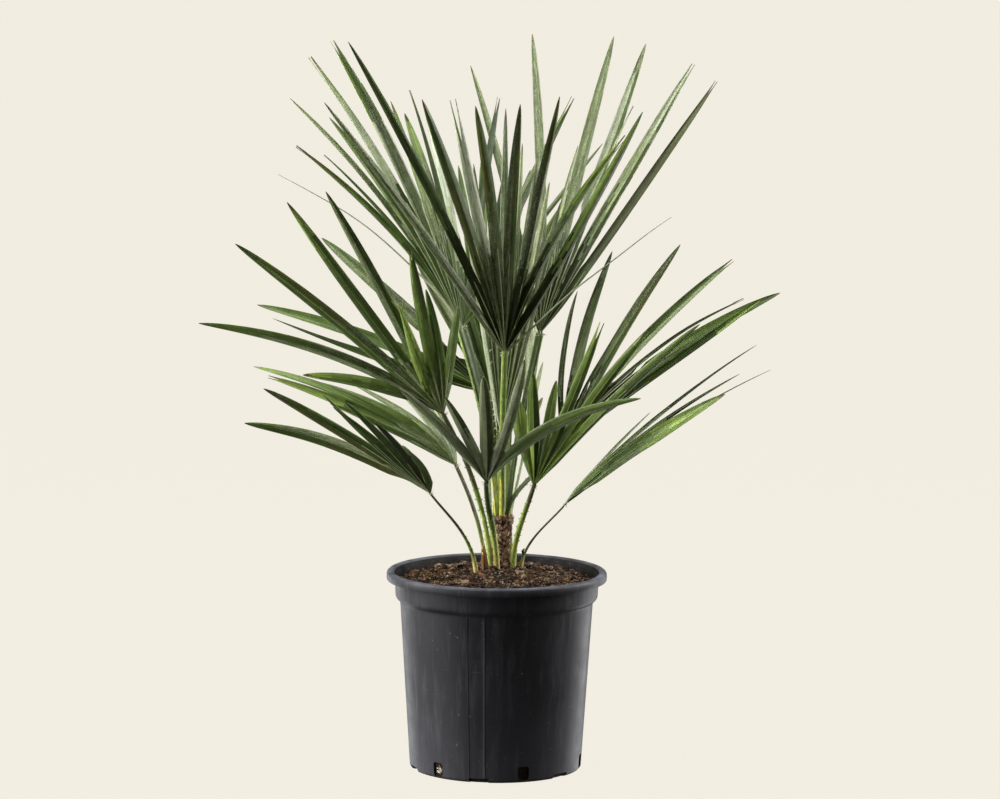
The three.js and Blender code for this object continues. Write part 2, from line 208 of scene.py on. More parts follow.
def tubes(pile, p, r, mat, sides=3, squash=None, phase=0.0):
    """Closed tapering tubes along polylines p (n x k x 3) with radius r (n x k)."""
    p, r = np.asarray(p, float), np.asarray(r, float)
    if p.ndim == 2:
        p, r = p[None], r[None]
    n, k = p.shape[:2]
    r = np.broadcast_to(r, (n, k))
    t, x, y = frames_along(p)
    u = (np.arange(sides) + phase) * 2 * np.pi / sides
    c, s = np.cos(u), np.sin(u) * (1 if squash is None else squash)
    ring = p[:, :, None] + r[:, :, None, None] * (c[None, None, :, None] * x[:, :, None] + s[None, None, :, None] * y[:, :, None])
    start = pile.points(ring)
    one = grid_faces(k, sides, 0, wrap=True)
    quads = (start + np.arange(n)[:, None, None] * (k * sides) + one[None]).reshape(-1, 4)
    pile.quads(quads, np.repeat(mat, len(one)) if np.ndim(mat) else mat)
    base = start + np.arange(n)[:, None] * (k * sides)
    for j in range(1, sides - 1):
        low = np.concatenate([base, base + j + 1, base + j], 1)
        high = np.concatenate([base, base + j, base + j + 1], 1) + (k - 1) * sides
        m = np.asarray(mat) if np.ndim(mat) else mat
        pile.tris(low, m)
        pile.tris(high, m)


ICO = None


def lumps(pile, centres, radii, mats, seed=1, rough=0.3, flat=None):
    """Small irregular stones or crumbs, one for each centre."""
    global ICO
    if ICO is None:
        g = (1 + 5**0.5) / 2
        v = unit(np.array([[-1, g, 0], [1, g, 0], [-1, -g, 0], [1, -g, 0], [0, -1, g], [0, 1, g], [0, -1, -g], [0, 1, -g], [g, 0, -1], [g, 0, 1], [-g, 0, -1], [-g, 0, 1]], float))
        f = np.array([[0, 11, 5], [0, 5, 1], [0, 1, 7], [0, 7, 10], [0, 10, 11], [1, 5, 9], [5, 11, 4], [11, 10, 2], [10, 7, 6], [7, 1, 8], [3, 9, 4], [3, 4, 2], [3, 2, 6], [3, 6, 8], [3, 8, 9], [4, 9, 5], [2, 4, 11], [6, 2, 10], [8, 6, 7], [9, 8, 1]])
        ICO = v, f
    v, f = ICO
    g = np.random.default_rng(seed)
    n = len(centres)
    radii = np.asarray(radii, float)
    if radii.ndim == 1:
        radii = np.repeat(radii[:, None], 3, 1)
    if flat is not None:
        radii = radii * np.array([1, 1, flat])
    shape = v[None] * (1 + rough * g.uniform(-1, 1, (n, 12, 1)))
    # a random turn about a random axis
    ax = unit(g.normal(size=(n, 3)))
    an = g.uniform(0, 2 * np.pi, n)
    c, s = np.cos(an)[:, None, None], np.sin(an)[:, None, None]
    stretch = g.uniform(0.65, 1.35, (n, 1, 3))
    w = shape * stretch
    axb = ax[:, None, :]
    w = w * c + np.cross(np.broadcast_to(axb, w.shape), w) * s + axb * (w * axb).sum(-1, keepdims=True) * (1 - c)
    w = w * radii[:, None, :]
    start = pile.points(centres[:, None] + w)
    faces = (start + np.arange(n)[:, None, None] * 12 + f[None]).reshape(-1, 3)
    pile.tris(faces, np.repeat(mats, len(f)))


# ---------------------------------------------------------------- materials
def srgb(r, g, b):
    f = lambda c: c / 12.92 if c <= 0.04045 else ((c + 0.055) / 1.055) ** 2.4
    return tuple(f(v / 255) for v in (r, g, b)) + (1.0,)


def scaled(colour, k):
    return tuple(min(1.0, c * k) for c in colour[:3]) + (1.0,)


class Look:
    """A procedural material round one Principled shader."""

    def __init__(self, name, rough=0.5, specular=0.5):
        self.mat = bpy.data.materials.new(name)
        self.mat.use_nodes = True
        self.nt = self.mat.node_tree
        self.nt.nodes.clear()
        self.out = self.nt.nodes.new("ShaderNodeOutputMaterial")
        self.bsdf = self.nt.nodes.new("ShaderNodeBsdfPrincipled")
        self.nt.links.new(self.bsdf.outputs[0], self.out.inputs[0])
        self.bsdf.inputs["Roughness"].default_value = rough
        self.bsdf.inputs["Specular IOR Level"].default_value = specular
        self.coord = self.nt.nodes.new("ShaderNodeTexCoord")

    def node(self, kind, **inputs):
        n = self.nt.nodes.new(kind)
        for k, v in inputs.items():
            n.inputs[k].default_value = v
        return n

    def link(self, a, b):
        self.nt.links.new(a, b)

    def place(self, source="Object", scale=(1, 1, 1)):
        m = self.node("ShaderNodeMapping", Scale=scale)
        self.link(self.coord.outputs[source], m.inputs["Vector"])
        return m.outputs["Vector"]

    def noise(self, scale, detail=3.0, rough=0.55, source="Object", stretch=(1, 1, 1), distortion=0.0):
        n = self.node("ShaderNodeTexNoise", Scale=scale, Detail=detail, Roughness=rough, Distortion=distortion)
        self.link(self.place(source, stretch), n.inputs["Vector"])
        return n.outputs["Fac"]

    def ramp(self, fac, stops):
        r = self.nt.nodes.new("ShaderNodeValToRGB")
        e = r.color_ramp.elements
        while len(e) < len(stops):
            e.new(0.5)
        for el, (pos, col) in zip(e, stops):
            el.position = pos
            el.color = col if len(col) == 4 else (*col, 1)
        self.link(fac, r.inputs["Fac"])
        return r.outputs["Color"]

    def mix(self, fac, a, b, kind="MIX"):
        m = self.nt.nodes.new("ShaderNodeMix")
        m.data_type = "RGBA"
        m.blend_type = kind
        for sock, v in ((m.inputs[0], fac), (m.inputs[6], a), (m.inputs[7], b)):
            if isinstance(v, bpy.types.NodeSocket):
                self.link(v, sock)
            else:
                sock.default_value = v
        return m.outputs[2]

    def bump(self, height, strength=0.3, distance=0.001):
        b = self.node("ShaderNodeBump", Strength=strength, Distance=distance)
        self.link(height, b.inputs["Height"])
        self.link(b.outputs["Normal"], self.bsdf.inputs["Normal"])
        return b

    def colour(self, socket):
        self.link(socket, self.bsdf.inputs["Base Color"])
        return self

    def roughness(self, fac, low, high):
        r = self.ramp(fac, [(0.3, (low,) * 3), (0.7, (high,) * 3)])
        self.link(r, self.bsdf.inputs["Roughness"])
        return self


def grey(v):
    return (v, v, v, 1.0)


LEAF_MATS = {}


def leaf_mat(name, colour, rough=0.45, specular=0.5, streak=0.36, scurf=None, scurf_amount=0.0, gloss=0.12):
    """A leaf surface: a plain base colour with fine streaks along the leaflet, light blotches, uneven gloss and,
    on undersides, pale scurf in flecks and short lines."""
    if name in LEAF_MATS:
        return LEAF_MATS[name]
    k = Look("leaf_" + name, rough, specular)
    streaks = k.noise(1.0, 1.2, 0.5, source="UV", stretch=(0.62, 0.014, 1))
    blotch = k.noise(75.0, 2.0, 0.55)
    c = k.mix(k.ramp(streaks, [(0.34, grey(0)), (0.66, grey(1))]), scaled(colour, 1 - streak), scaled(colour, 1 + streak))
    c = k.mix(k.ramp(blotch, [(0.3, grey(0.0)), (0.7, grey(1.0))]), k.mix(0.35, c, scaled(colour, 0.62)), k.mix(0.3, c, scaled(colour, 1.45)))
    if scurf:
        spots = k.noise(700.0, 1.0, 0.5)
        lines = k.noise(1.0, 1.2, 0.5, source="UV", stretch=(0.7, 0.05, 1))
        c = k.mix(k.ramp(lines, [(0.5, grey(0)), (0.7, grey(scurf_amount))]), c, scurf)
        c = k.mix(k.ramp(spots, [(0.55, grey(0)), (0.68, grey(min(1.0, scurf_amount * 1.5)))]), c, scurf)
    k.colour(c)
    k.roughness(k.noise(240.0, 3.0, 0.6), max(0.1, rough - gloss), min(1.0, rough + gloss))
    k.bump(streaks, 0.3, 0.0004)
    LEAF_MATS[name] = k.mat
    return k.mat


# ---------------------------------------------------------------- the fronds, as in the CAD model (millimetres)
# foot: on the soil (two numbers) or on the stem's tip (three); hastula: where the fan starts;
# aim: azimuth, rise and turn of the middle leaflet; stalk: its width at the middle and the top.
# leaflets: angle in the fan, length, sideways bend at the tip, bend out of the fan at the tip, width.
FRONDS = [
    {"name": "upper_front", "foot": [6, 15.5, 321], "hastula": [8, -38, 536], "aim": [-78, 69, 169], "stalk": [8, 8],
    "leaflets": [[-33.4, 452, -17, -10, 9], [-24.6, 516, -35, 8, 10], [-17.6, 398, -28, 12, 14], [-14.6, 359, 1, -26, 13], [-7.7, 360, -25, 10, 13], [-3.2, 346, 8, 0, 14], [8.2, 359, -17, 12, 13], [11.3, 304, 85, -12, 13], [29.8, 356, -30, 8, 12.5], [45.2, 269, 19, 16, 3]]},
    {"name": "upper_right", "foot": [14.5, 24, 321], "hastula": [52, 28, 553], "aim": [62, 60, 0], "stalk": [8, 9],
    "leaflets": [[-25.2, 416, -22, 10, 9], [-12.4, 439, -32, 0, 12], [-7.5, 272, 12, -12, 5], [-1.2, 417, 9, 12, 15], [2.2, 322, 42, 8, 4.6], [7.5, 420, -17, -10, 15], [14.7, 401, 24, 10, 15], [24.5, 397, -10, 0, 11]]},
    {"name": "upper_left", "foot": [0, 18, 321], "hastula": [-46, -8, 564], "aim": [133, 57, 6], "stalk": [8.6, 11],
    "leaflets": [[-13.1, 281, -110, -12, 3.2], [-9.5, 293, -99, 12, 10], [-7.3, 272, -67, 0, 4.4], [-5.5, 361, -74, -12, 7], [-2.7, 310, -65, 12, 10.5], [0.1, 400, -63, 0, 11], [4.7, 424, -44, -12, 14], [8.6, 319, -25, 12, 8.5], [14.4, 312, -27, -6, 13], [18.6, 333, -50, 12, 6], [21.2, 328, -29, -12, 12], [31.6, 372, 9, 0, 9], [45.2, 393, 0, 48, 9.5], [54.5, 408, 10, 0, 4.6]]},
    {"name": "inner_left", "foot": [-2.5, 24, 321], "hastula": [-8, 40, 475], "aim": [147, 43, 47], "stalk": [6, 5],
    "leaflets": [[-35.8, 301, 23, -12, 9], [-21.6, 318, -54, 12, 14], [-17.8, 128, 17, 16, 9], [-5.4, 312, -10, -12, 14], [8.6, 194, -3, 28, 11], [21.7, 208, 0, 0, 11], [34.7, 193, 0, 4, 10]]},
    {"name": "mid_left", "foot": [-8, 22], "hastula": [-69, -22, 456], "aim": [-150, 47, 127], "stalk": [6.5, 5.5],
    "leaflets": [[-17.3, 172, -64, -12, 15], [-12.2, 321, -96, 12, 13], [-6, 356, -23, 0, 14], [3.4, 357, 1, -12, 13], [14.1, 358, -9, 12, 12], [25, 241, 6, 0, 13], [35.9, 176, -21, -12, 11], [42.5, 168, 0, 12, 10]]},
    {"name": "low_left", "foot": [-14, 6], "hastula": [-52, -30, 392], "aim": [154, 52, 6], "stalk": [7, 6],
    "leaflets": [[-46, 194, 0, -17, 8], [-38, 263, 0, -57, 12], [-29, 271, 0, -86, 15], [-18, 200, 0, -72, 14], [-6, 163, 0, -53, 12], [7, 150, 0, -29, 11], [20, 158, 0, -25, 11], [33, 160, 0, -32, 10]]},
    {"name": "lowest_left", "foot": [-26, -17], "hastula": [-84, -95, 367], "aim": [-133, 39, -173], "stalk": [4.8, 3.8],
    "leaflets": [[-36, 242, 0, 59, 14], [-24, 254, 0, 24, 12], [-12, 202, 0, -4, 13], [-1, 207, 0, 10, 13], [10, 237, 0, 10, 13], [22, 234, 0, 18, 12], [34, 244, 0, 30, 11]]},
    {"name": "low_front", "foot": [0, 4], "hastula": [-14, -85, 379], "aim": [-83, 52, -177], "stalk": [8, 6.5],
    "leaflets": [[-29.2, 207, -23, 6, 12], [-17.6, 156, -17, -8, 12], [-2.8, 194, -10, 6, 16], [13.9, 211, -21, -10, 13], [23.7, 268, 66, 60, 18]]},
    {"name": "low_right_front", "foot": [20, 20], "hastula": [46, -45, 369], "aim": [-51, 63, -146], "stalk": [7.5, 5.6],
    "leaflets": [[-32, 119, 12, -12, 13], [-17.3, 171, -2, 12, 14], [-3.3, 159, -12, 8, 12], [4.8, 242, -7, -12, 12], [12.1, 266, 10, 12, 12], [19.2, 305, 30, 0, 11]]},
    {"name": "mid_right", "foot": [12, 18, 321], "hastula": [85, 12, 418], "aim": [31, 56, -29], "stalk": [6, 5],
    "leaflets": [[-40.2, 208, 47, -12, 7], [-24.6, 257, 39, 12, 13], [-14.7, 152, 34, 8, 6], [-4.5, 298, 22, -12, 14], [2.9, 303, 77, 12, 14], [8.2, 277, 85, 0, 7], [17.6, 324, 65, -12, 17], [28.4, 309, 10, 12, 10]]},
    {"name": "low_right", "foot": [30, 26], "hastula": [87, -5, 341], "aim": [-3, 46, 172], "stalk": [3.8, 3.4],
    "leaflets": [[-22, 270, 0, 22, 14], [-12, 315, 0, 50, 7], [-1, 272, 0, 39, 10], [11, 313, 0, 44, 8], [22, 163, 0, 7, 9]]},
    {"name": "back_low_left", "foot": [-6, 36], "hastula": [-14, 112, 440], "aim": [94, 41, 86], "stalk": [5.6, 4.6],
    "leaflets": [[-35.2, 210, 0, 2, 10.2], [-25.1, 218, 0, 2, 11.1], [-15.1, 243, 0, 2, 11.7], [-5, 237, 0, 2, 12], [5, 249, 0, 2, 12], [15.1, 231, 0, 2, 11.7], [25.1, 230, 0, 2, 11.1], [35.2, 200, 0, 2, 10.2]]},
    {"name": "back_low_right", "foot": [8, 43], "hastula": [34, 135, 392], "aim": [84, 32, 92], "stalk": [5.6, 4.6],
    "leaflets": [[-32.5, 197, 0, -1, 10.2], [-21.7, 207, 0, -1, 11.2], [-10.8, 231, 0, -1, 11.8], [0, 223, 0, -1, 12], [10.8, 231, 0, -1, 11.8], [21.7, 207, 0, -1, 11.2], [32.5, 197, 0, -1, 10.2]]},
    {"name": "upper_back", "foot": [6, 32.5, 321], "hastula": [-21, 85, 543], "aim": [91, 54, -4], "stalk": [8, 8.5],
    "leaflets": [[-28.4, 223, 8, 8, 10.2], [-21.3, 229, 0, 16, 11], [-14.2, 254, 0, 8, 11.6], [-7.1, 249, 0, 8, 11.9], [0, 265, 0, 8, 12], [7.1, 249, 0, 8, 11.9], [14.2, 254, 0, 8, 11.6], [21.3, 229, 0, 8, 11], [28.4, 223, 0, 8, 10.2]]},
    {"name": "back_right", "foot": [17, 36], "hastula": [20, 84, 492], "aim": [72, 44, 59], "stalk": [5.6, 4.6],
    "leaflets": [[-25.9, 210, 0, 10, 10.2], [-18.5, 218, 0, 10, 11.1], [-11.1, 243, 0, 10, 11.7], [-3.7, 237, 0, 10, 12], [3.7, 249, 0, 10, 12], [11.1, 231, 0, 10, 11.7], [18.5, 230, 0, 10, 11.1], [25.9, 200, 0, 18, 10.2]]},
    {"name": "back_left", "foot": [0, 30, 321], "hastula": [-34, 78, 505], "aim": [115, 46, 126], "stalk": [5.6, 4.6],
    "leaflets": [[-24.5, 210, 0, -3, 10.2], [-17.5, 218, 0, -11, 11.1], [-10.5, 243, 0, -11, 11.7], [-3.5, 237, 0, -11, 12], [3.5, 249, 0, -11, 12], [10.5, 231, 0, -11, 11.7], [17.5, 230, 0, -3, 11.1], [24.5, 200, 8, -11, 10.2]]},
    {"name": "centre", "foot": [6, 24, 321], "hastula": [4, 8, 430], "aim": [90, 88, 0], "stalk": [7, 6.4],
    "leaflets": [[-9.5, 300, 0, 0, 6.4], [-6.3, 341, 0, 0, 6.8], [-3, 352, 0, 0, 7], [0.4, 409, 0, 0, 7], [3.8, 366, 0, 0, 7], [7, 343, 0, 0, 7], [10.5, 322, 0, 0, 6.8], [14, 300, 0, 0, 6.4]] },
]
BY_NAME = {f["name"]: f for f in FRONDS}
STEM_AXIS = np.array([6.0, 24.0])
SOIL_EDGE_RADIUS, SOIL_EDGE, SOIL_RISE, GAP = 126.0, 240.5, 14.5, 0.35


def soil_height(x, y):
    return SOIL_EDGE + SOIL_RISE * (1 - (x * x + y * y) / SOIL_EDGE_RADIUS**2)


class Fan:
    def __init__(self, f):
        self.f = f
        self.name = f["name"]
        a, e, t = np.radians(f["aim"])
        self.h = np.array(f["hastula"], float)
        self.middle = np.array([math.cos(e) * math.cos(a), math.cos(e) * math.sin(a), math.sin(e)])
        level = unit(np.cross(self.middle, [0, 0, 1]))
        up = np.cross(level, self.middle)
        self.side = math.cos(t) * level + math.sin(t) * up
        self.face = np.cross(self.side, self.middle)
        out = np.array([self.h[0] - STEM_AXIS[0], self.h[1] - STEM_AXIS[1], 0.0])
        out = out / max(np.linalg.norm(out), 1e-6)
        upper = np.array([0, 0, 1.0]) - out
        # the leaf's upper side looks up and back to the stem; its ribs stand out on the other side
        self.upper_is_face = float(self.face @ upper) > 0
        if "upper" in f:
            self.upper_is_face = f["upper"]
        self.crest = -self.face if self.upper_is_face else self.face

    def centre(self, row, r):
        """Points of a leaflet's centre line at distances r from the hastula."""
        ang, length, bend, lift = math.radians(row[0]), row[1], row[2], row[3]
        s = (np.asarray(r, float) / length)[:, None]
        along = math.cos(ang) * self.middle + math.sin(ang) * self.side
        across = -math.sin(ang) * self.middle + math.cos(ang) * self.side
        return self.h + along * length * s + s * s * (bend * across + lift * self.face)


REACH = np.array([3.2, 4.6, 6.4, 8.6, 11.2, 14.4, 18, 22, 26.5, 31.5, 37, 43, 49.5, 56.5, 64, 72, 80.5, 89.5, 99, 109, 119.5, 130.5, 142, 154, 166.5, 179.5, 193, 207, 221.5, 236.5, 252, 268, 284.5, 301.5, 319, 337, 355.5, 374.5, 394, 414])
WIDTH_SHARES = [0, 0.30, 0.45, 0.6, 0.7, 0.8, 0.88, 0.94, 0.98, 1.0]
WIDTHS = [0.9, 1.0, 1.02, 0.98, 0.91, 0.78, 0.62, 0.43, 0.23, 0.05]
ACROSS = np.array([0, 0.1, 0.3, 0.52, 0.73, 0.87, 1.0])
LEAF_THICKNESS = 0.42
FRONT_VIEW = np.array([0.0, -5997.0, 1283.0])


def half_width(row, r):
    return row[4] / 2 * np.interp(np.asarray(r) / row[1], WIDTH_SHARES, WIDTHS)


def build_fan(fan, style, seed):
    """Ribs and folded leaflets of one frond. Neighbours are joined, pleated, up to where their widths no longer meet."""
    g = np.random.default_rng(seed)
    pile = Pile()
    rows = [r[:4] + [r[4] * (style.get("wide", 1.08) if r[4] > 4 else 1)] for r in fan.f["leaflets"]]
    n = len(rows)
    fine = np.arange(3.2, 200, 2.0)
    # where each pair of neighbours parts
    split = []
    for i in range(n - 1):
        a, b = rows[i], rows[i + 1]
        m = min(a[1], b[1]) * style.get("joined", 0.5)
        gap = np.linalg.norm(fan.centre(a, fine) - fan.centre(b, fine), axis=1) / 2
        natural = (half_width(a, fine) + half_width(b, fine)) / 2
        apart = np.nonzero((gap > natural) | (fine > m))[0]
        split.append(fine[apart[0]] if len(apart) else m)
    overrides = style.get("leaflets", {})
    for i, row in enumerate(rows):
        o = overrides.get(i, {})
        length, width = row[1], row[4]
        if width <= 4:
            continue  # a thread, made apart
        bifid = o.get("bifid", 0.95 if g.random() < 0.25 else 0.0)
        tips = np.array([0.9, 0.925, 0.945, 0.962, 0.976, 0.988, 0.996, 1.0]) * length
        end = o.get("cut", 1.0)
        r = np.concatenate([REACH[REACH < 0.885 * length], tips])
        if end < 1:
            r = np.concatenate([REACH[REACH < end * length - 4], [end * length]])
        share = r / length
        p = fan.centre(row, r)
        # a slow sway of the free part, as no leaflet is quite straight
        sway = o.get("sway", g.uniform(-1, 1) * style.get("sway", 1.6))
        t = unit(np.gradient(p, axis=0))
        crest = unit(fan.crest - (t @ fan.crest)[:, None] * t)
        edge = np.cross(t, crest)
        if edge[0] @ fan.side < 0:
            edge = -edge
        lo = split[i - 1] if i else 0.0
        hi = split[i] if i < n - 1 else 0.0
        parts = max(lo, hi, 30.0)
        free = smooth((r - parts) / max(length - parts, 1.0))
        p = p + (edge * 0.6 + crest) * (sway * free * np.sin(np.pi * np.clip((r - parts) / (length - parts), 0, 1) * 1.5))[:, None]
        # twist of the free part about its own line
        tw = math.radians(o.get("twist", g.uniform(-1, 1) * style.get("twist", 18)))
        turn = tw * free + math.radians(o.get("roll", 0)) * smooth(r / parts)
        look = o.get("look", style.get("look", 0.0))
        if look:
            # the free part turns its face to the front by this share
            way = FRONT_VIEW - p
            way = unit(way - (way * t).sum(1)[:, None] * t)
            ang = np.arctan2((way * edge).sum(1), (way * crest).sum(1))
            ang = float(np.median(ang[len(ang) // 3 :]))
            ang = ang - math.pi if ang > math.pi / 2 else ang + math.pi if ang < -math.pi / 2 else ang
            turn = turn - look * ang * smooth(r / parts)
        c, s = np.cos(turn)[:, None], np.sin(turn)[:, None]
        edge, crest = edge * c + crest * s, crest * c - edge * s
        fold = np.radians(np.interp(r, [0, parts, length], [style.get("fold0", 60), o.get("fold", style.get("fold1", 46)), o.get("fold", style.get("fold2", 34)) * (0.8 if "fold" in o else 1)]))
        nat = half_width(row, r)
        if "shape" in o:
            nat = nat * np.interp(share, *o["shape"])
        if bifid:
            q = np.clip((share - bifid) / (1 - bifid), 0, 1)
            at = half_width(row, np.array([bifid * length]))[0]
            nat = np.where(q > 0, at * (1 - 0.3 * q), nat)
            inner = at * 0.62 * q**0.8
        else:
            inner = np.zeros_like(r)
        if end < 1:
            nat = nat * np.where(r > end * length - 1, 0.9, 1)
        under, upper = style["under"], style["upper"]
        tone_u = o.get("under", o.get("tone", under[int(g.integers(len(under)))]))
        tone_t = o.get("upper", o.get("tone", upper[int(g.integers(len(upper)))]))
        rib_name = o.get("rib", style["rib"])
        step_tone = lambda name, step: name + step if name + step in LEAF_MATS else name
        for sgn in (-1, 1):
            # each half may have its own tone, often a lighter one on one half and a darker one on the other, which
            # paint the light and shade across the fold: under_l is the half towards smaller angles, under_r the other
            half_u = o.get("under_l" if sgn < 0 else "under_r", tone_u)
            half_t = o.get("upper_l" if sgn < 0 else "upper_r", tone_t)
            j = i + sgn
            limit = lo if sgn < 0 else hi
            hw = nat.copy()
            if not 0 <= j < n:
                hw = np.minimum(hw, 0.9 + r * math.tan(math.radians(7)))
            boundary = p + edge * (sgn * hw)[:, None]
            if 0 <= j < n:
                other = fan.centre(rows[j], r)
                mid = (p + other) / 2
                joined = r <= limit + 0.5
                gap = np.linalg.norm(other - p, axis=1) / 2
                # past the split the edge moves back to the leaflet's own width over a short way
                back = smooth((r - limit) / 14.0)
                hw = np.where(joined, gap, lerp(gap, nat, back))
                hw = np.minimum(hw, np.where(joined, gap, nat * 1.0 + 0.2))
                boundary = np.where(joined[:, None], mid, p + edge * (sgn * hw)[:, None])
            h = hw * np.tan(fold)
            rib = p + crest * (h * 0.5)[:, None] + edge * (sgn * inner)[:, None]
            out = boundary - crest * (h * 0.5)[:, None]
            half = out - rib
            normal = unit(np.cross(t, half))
            normal = normal * np.sign((normal * crest).sum(1))[:, None]
            bulge = 0.1 * hw
            pts = rib[:, None] + half[:, None] * ACROSS[None, :, None]
            ridge = np.array([0, 0.06, -0.12, 0.14, -0.12, 0.06, 0])
            wave = bulge[:, None] * np.sin(np.pi * ACROSS)[None] + ridge[None] * np.minimum(hw / 4, 1)[:, None]
            # slow waves along the blade
            wave += np.sin(np.pi * ACROSS)[None] * (0.3 * np.sin(r / 31.0 + 1.7 * i + sgn))[:, None] * np.minimum(hw / 4, 1)[:, None]
            pts = pts + normal[:, None] * wave[:, :, None]
            a = pts + normal[:, None] * (LEAF_THICKNESS / 2)
            b = pts - normal[:, None] * (LEAF_THICKNESS / 2)

            # each face takes its tone or one step off it, in long streaks
            rows_of, cols_of = len(r) - 1, np.arange(6)
            middle_r, middle_s = (r[1:] + r[:-1]) / 2, (share[1:] + share[:-1]) / 2
            streaky = value_noise(middle_r[:, None] / 34.0, cols_of[None] * 7.3 + 3.1, seed + 5 * i + sgn) + 0.55 * g.uniform(-1, 1, (rows_of, 6)) + 0.35 * g.uniform(-1, 1, (1, 6))
            shift = np.where(streaky > 0.42, 1, np.where(streaky < -0.5, -1, 0))

            def faces_in(name, more=0):
                three = pile.slots([LEAF_MATS[step_tone(name, x)] for x in ("-", "", "+")])
                return three[np.clip(shift + more, -1, 1) + 1]

            per_a, per_b = faces_in(half_u), faces_in(half_t)
            # tones that change along the leaflet, each from a share of its length on, mixed over the joint; a dark tone
            # at the base turning lighter further out paints the shade deep in the fan, besides the leaf's own colour
            # such as a dry tip
            steps = list(o.get("along", []))
            dry = o.get("dry", style.get("dry", 0.035) * g.uniform(0, 1.2))
            if dry > 0.015:
                steps.append((1 - dry, o.get("dry_tone", style.get("dry_tone", "tip_brown"))))
            for start, name in steps:
                tip = (name[0] if sgn < 0 else name[1]) if isinstance(name, tuple) else name
                spread = min(0.11, 0.6 * (1 - start))
                later = middle_s[:, None] > start + spread * (0.6 * g.uniform(-1, 1, (rows_of, 6)) + 0.5 * g.uniform(-1, 1, (1, 6)))
                tinted = faces_in(tip)
                per_a[later], per_b[later] = tinted[later], tinted[later]
            edge_highlight = o.get("edge_highlight", style.get("edge_highlight"))
            if edge_highlight:
                # a painted highlight: a light line along the free edge
                on = (g.random(rows_of) < 0.8) & (middle_s < 0.93)
                per_a[on, 5] = per_b[on, 5] = pile.slot(LEAF_MATS[edge_highlight])
            elif "margin" in o or "margin" in style:
                per_a[middle_s < 0.6, 5] = pile.slot(LEAF_MATS[o.get("margin", style.get("margin"))])
            if "middle" in o or "middle" in style:
                per_a[middle_s < 0.9, 0] = pile.slot(LEAF_MATS[o.get("middle", style.get("middle"))])
            em = pile.slot(LEAF_MATS[o.get("edge", style.get("edge", step_tone(half_u, "+")))])
            uv = np.stack([sgn * np.outer(np.maximum(hw, 0.4), ACROSS) + i * 40.0, np.repeat(r[:, None], len(ACROSS), 1)], -1)
            if np.linalg.det(np.stack([t[4], half[4], normal[4]])) < 0:
                shell(pile, a, b, per_a, per_b, em, uv)
            else:
                # the other hand: swap, so that the faces still look out
                shell(pile, a[:, ::-1], b[:, ::-1], per_a[:, ::-1], per_b[:, ::-1], em, uv[:, ::-1])
        # the rib, proud of the fold on the underside: pale over the joined part, then close to the leaf's own tone
        near = np.minimum(np.linalg.norm(fan.centre(rows[i - 1], r) - p, axis=1) if i else 99, np.linalg.norm(fan.centre(rows[i + 1], r) - p, axis=1) if i < n - 1 else 99) / 2
        h = np.minimum(near, nat) * np.tan(fold) * 0.5
        k = (share < 0.965 if not bifid else share < bifid) & (r < end * length)
        line = p + crest * (h + 0.1)[:, None]
        thick = np.interp(r, [0, 30, parts, length], [0.45, 0.72, style.get("rib_width", 0.5), 0.16]) * o.get("rib_scale", 1.0)
        turn_at = o.get("rib_to", style.get("rib_to", 1.15)) * parts
        first = k & (r <= turn_at)
        last = k & (r >= r[first][-1])
        tubes(pile, line[first], thick[first], pile.slot(LEAF_MATS[rib_name]), sides=6)
        if last.sum() > 2:
            tubes(pile, line[last], thick[last] * 0.8, pile.slot(LEAF_MATS[o.get("rib_far", step_tone(tone_u, "+"))]), sides=5)
    return pile


def stalk_curve(fan, t):
    """The stalk's centre line, as in the CAD model: a cubic curve from its foot to just below the hastula."""
    f = fan.f
    foot = np.array(f["foot"], float)
    if len(foot) == 2:
        foot = np.array([foot[0], foot[1], soil_height(*foot) + GAP + 0.2])
    end = fan.h.copy()
    chord = end - foot
    length = np.linalg.norm(chord)
    straight = chord / length
    start = unit(np.array([0, 0, 0.75]) + 0.25 * straight)
    finish = unit(straight + fan.middle)
    end = end - 1.2 * finish
    t = np.asarray(t, float)[:, None]
    c1, c2 = foot + start * length * 0.33, end - finish * length * 0.33
    return (1 - t) ** 3 * foot + 3 * (1 - t) ** 2 * t * c1 + 3 * (1 - t) * t * t * c2 + t**3 * end


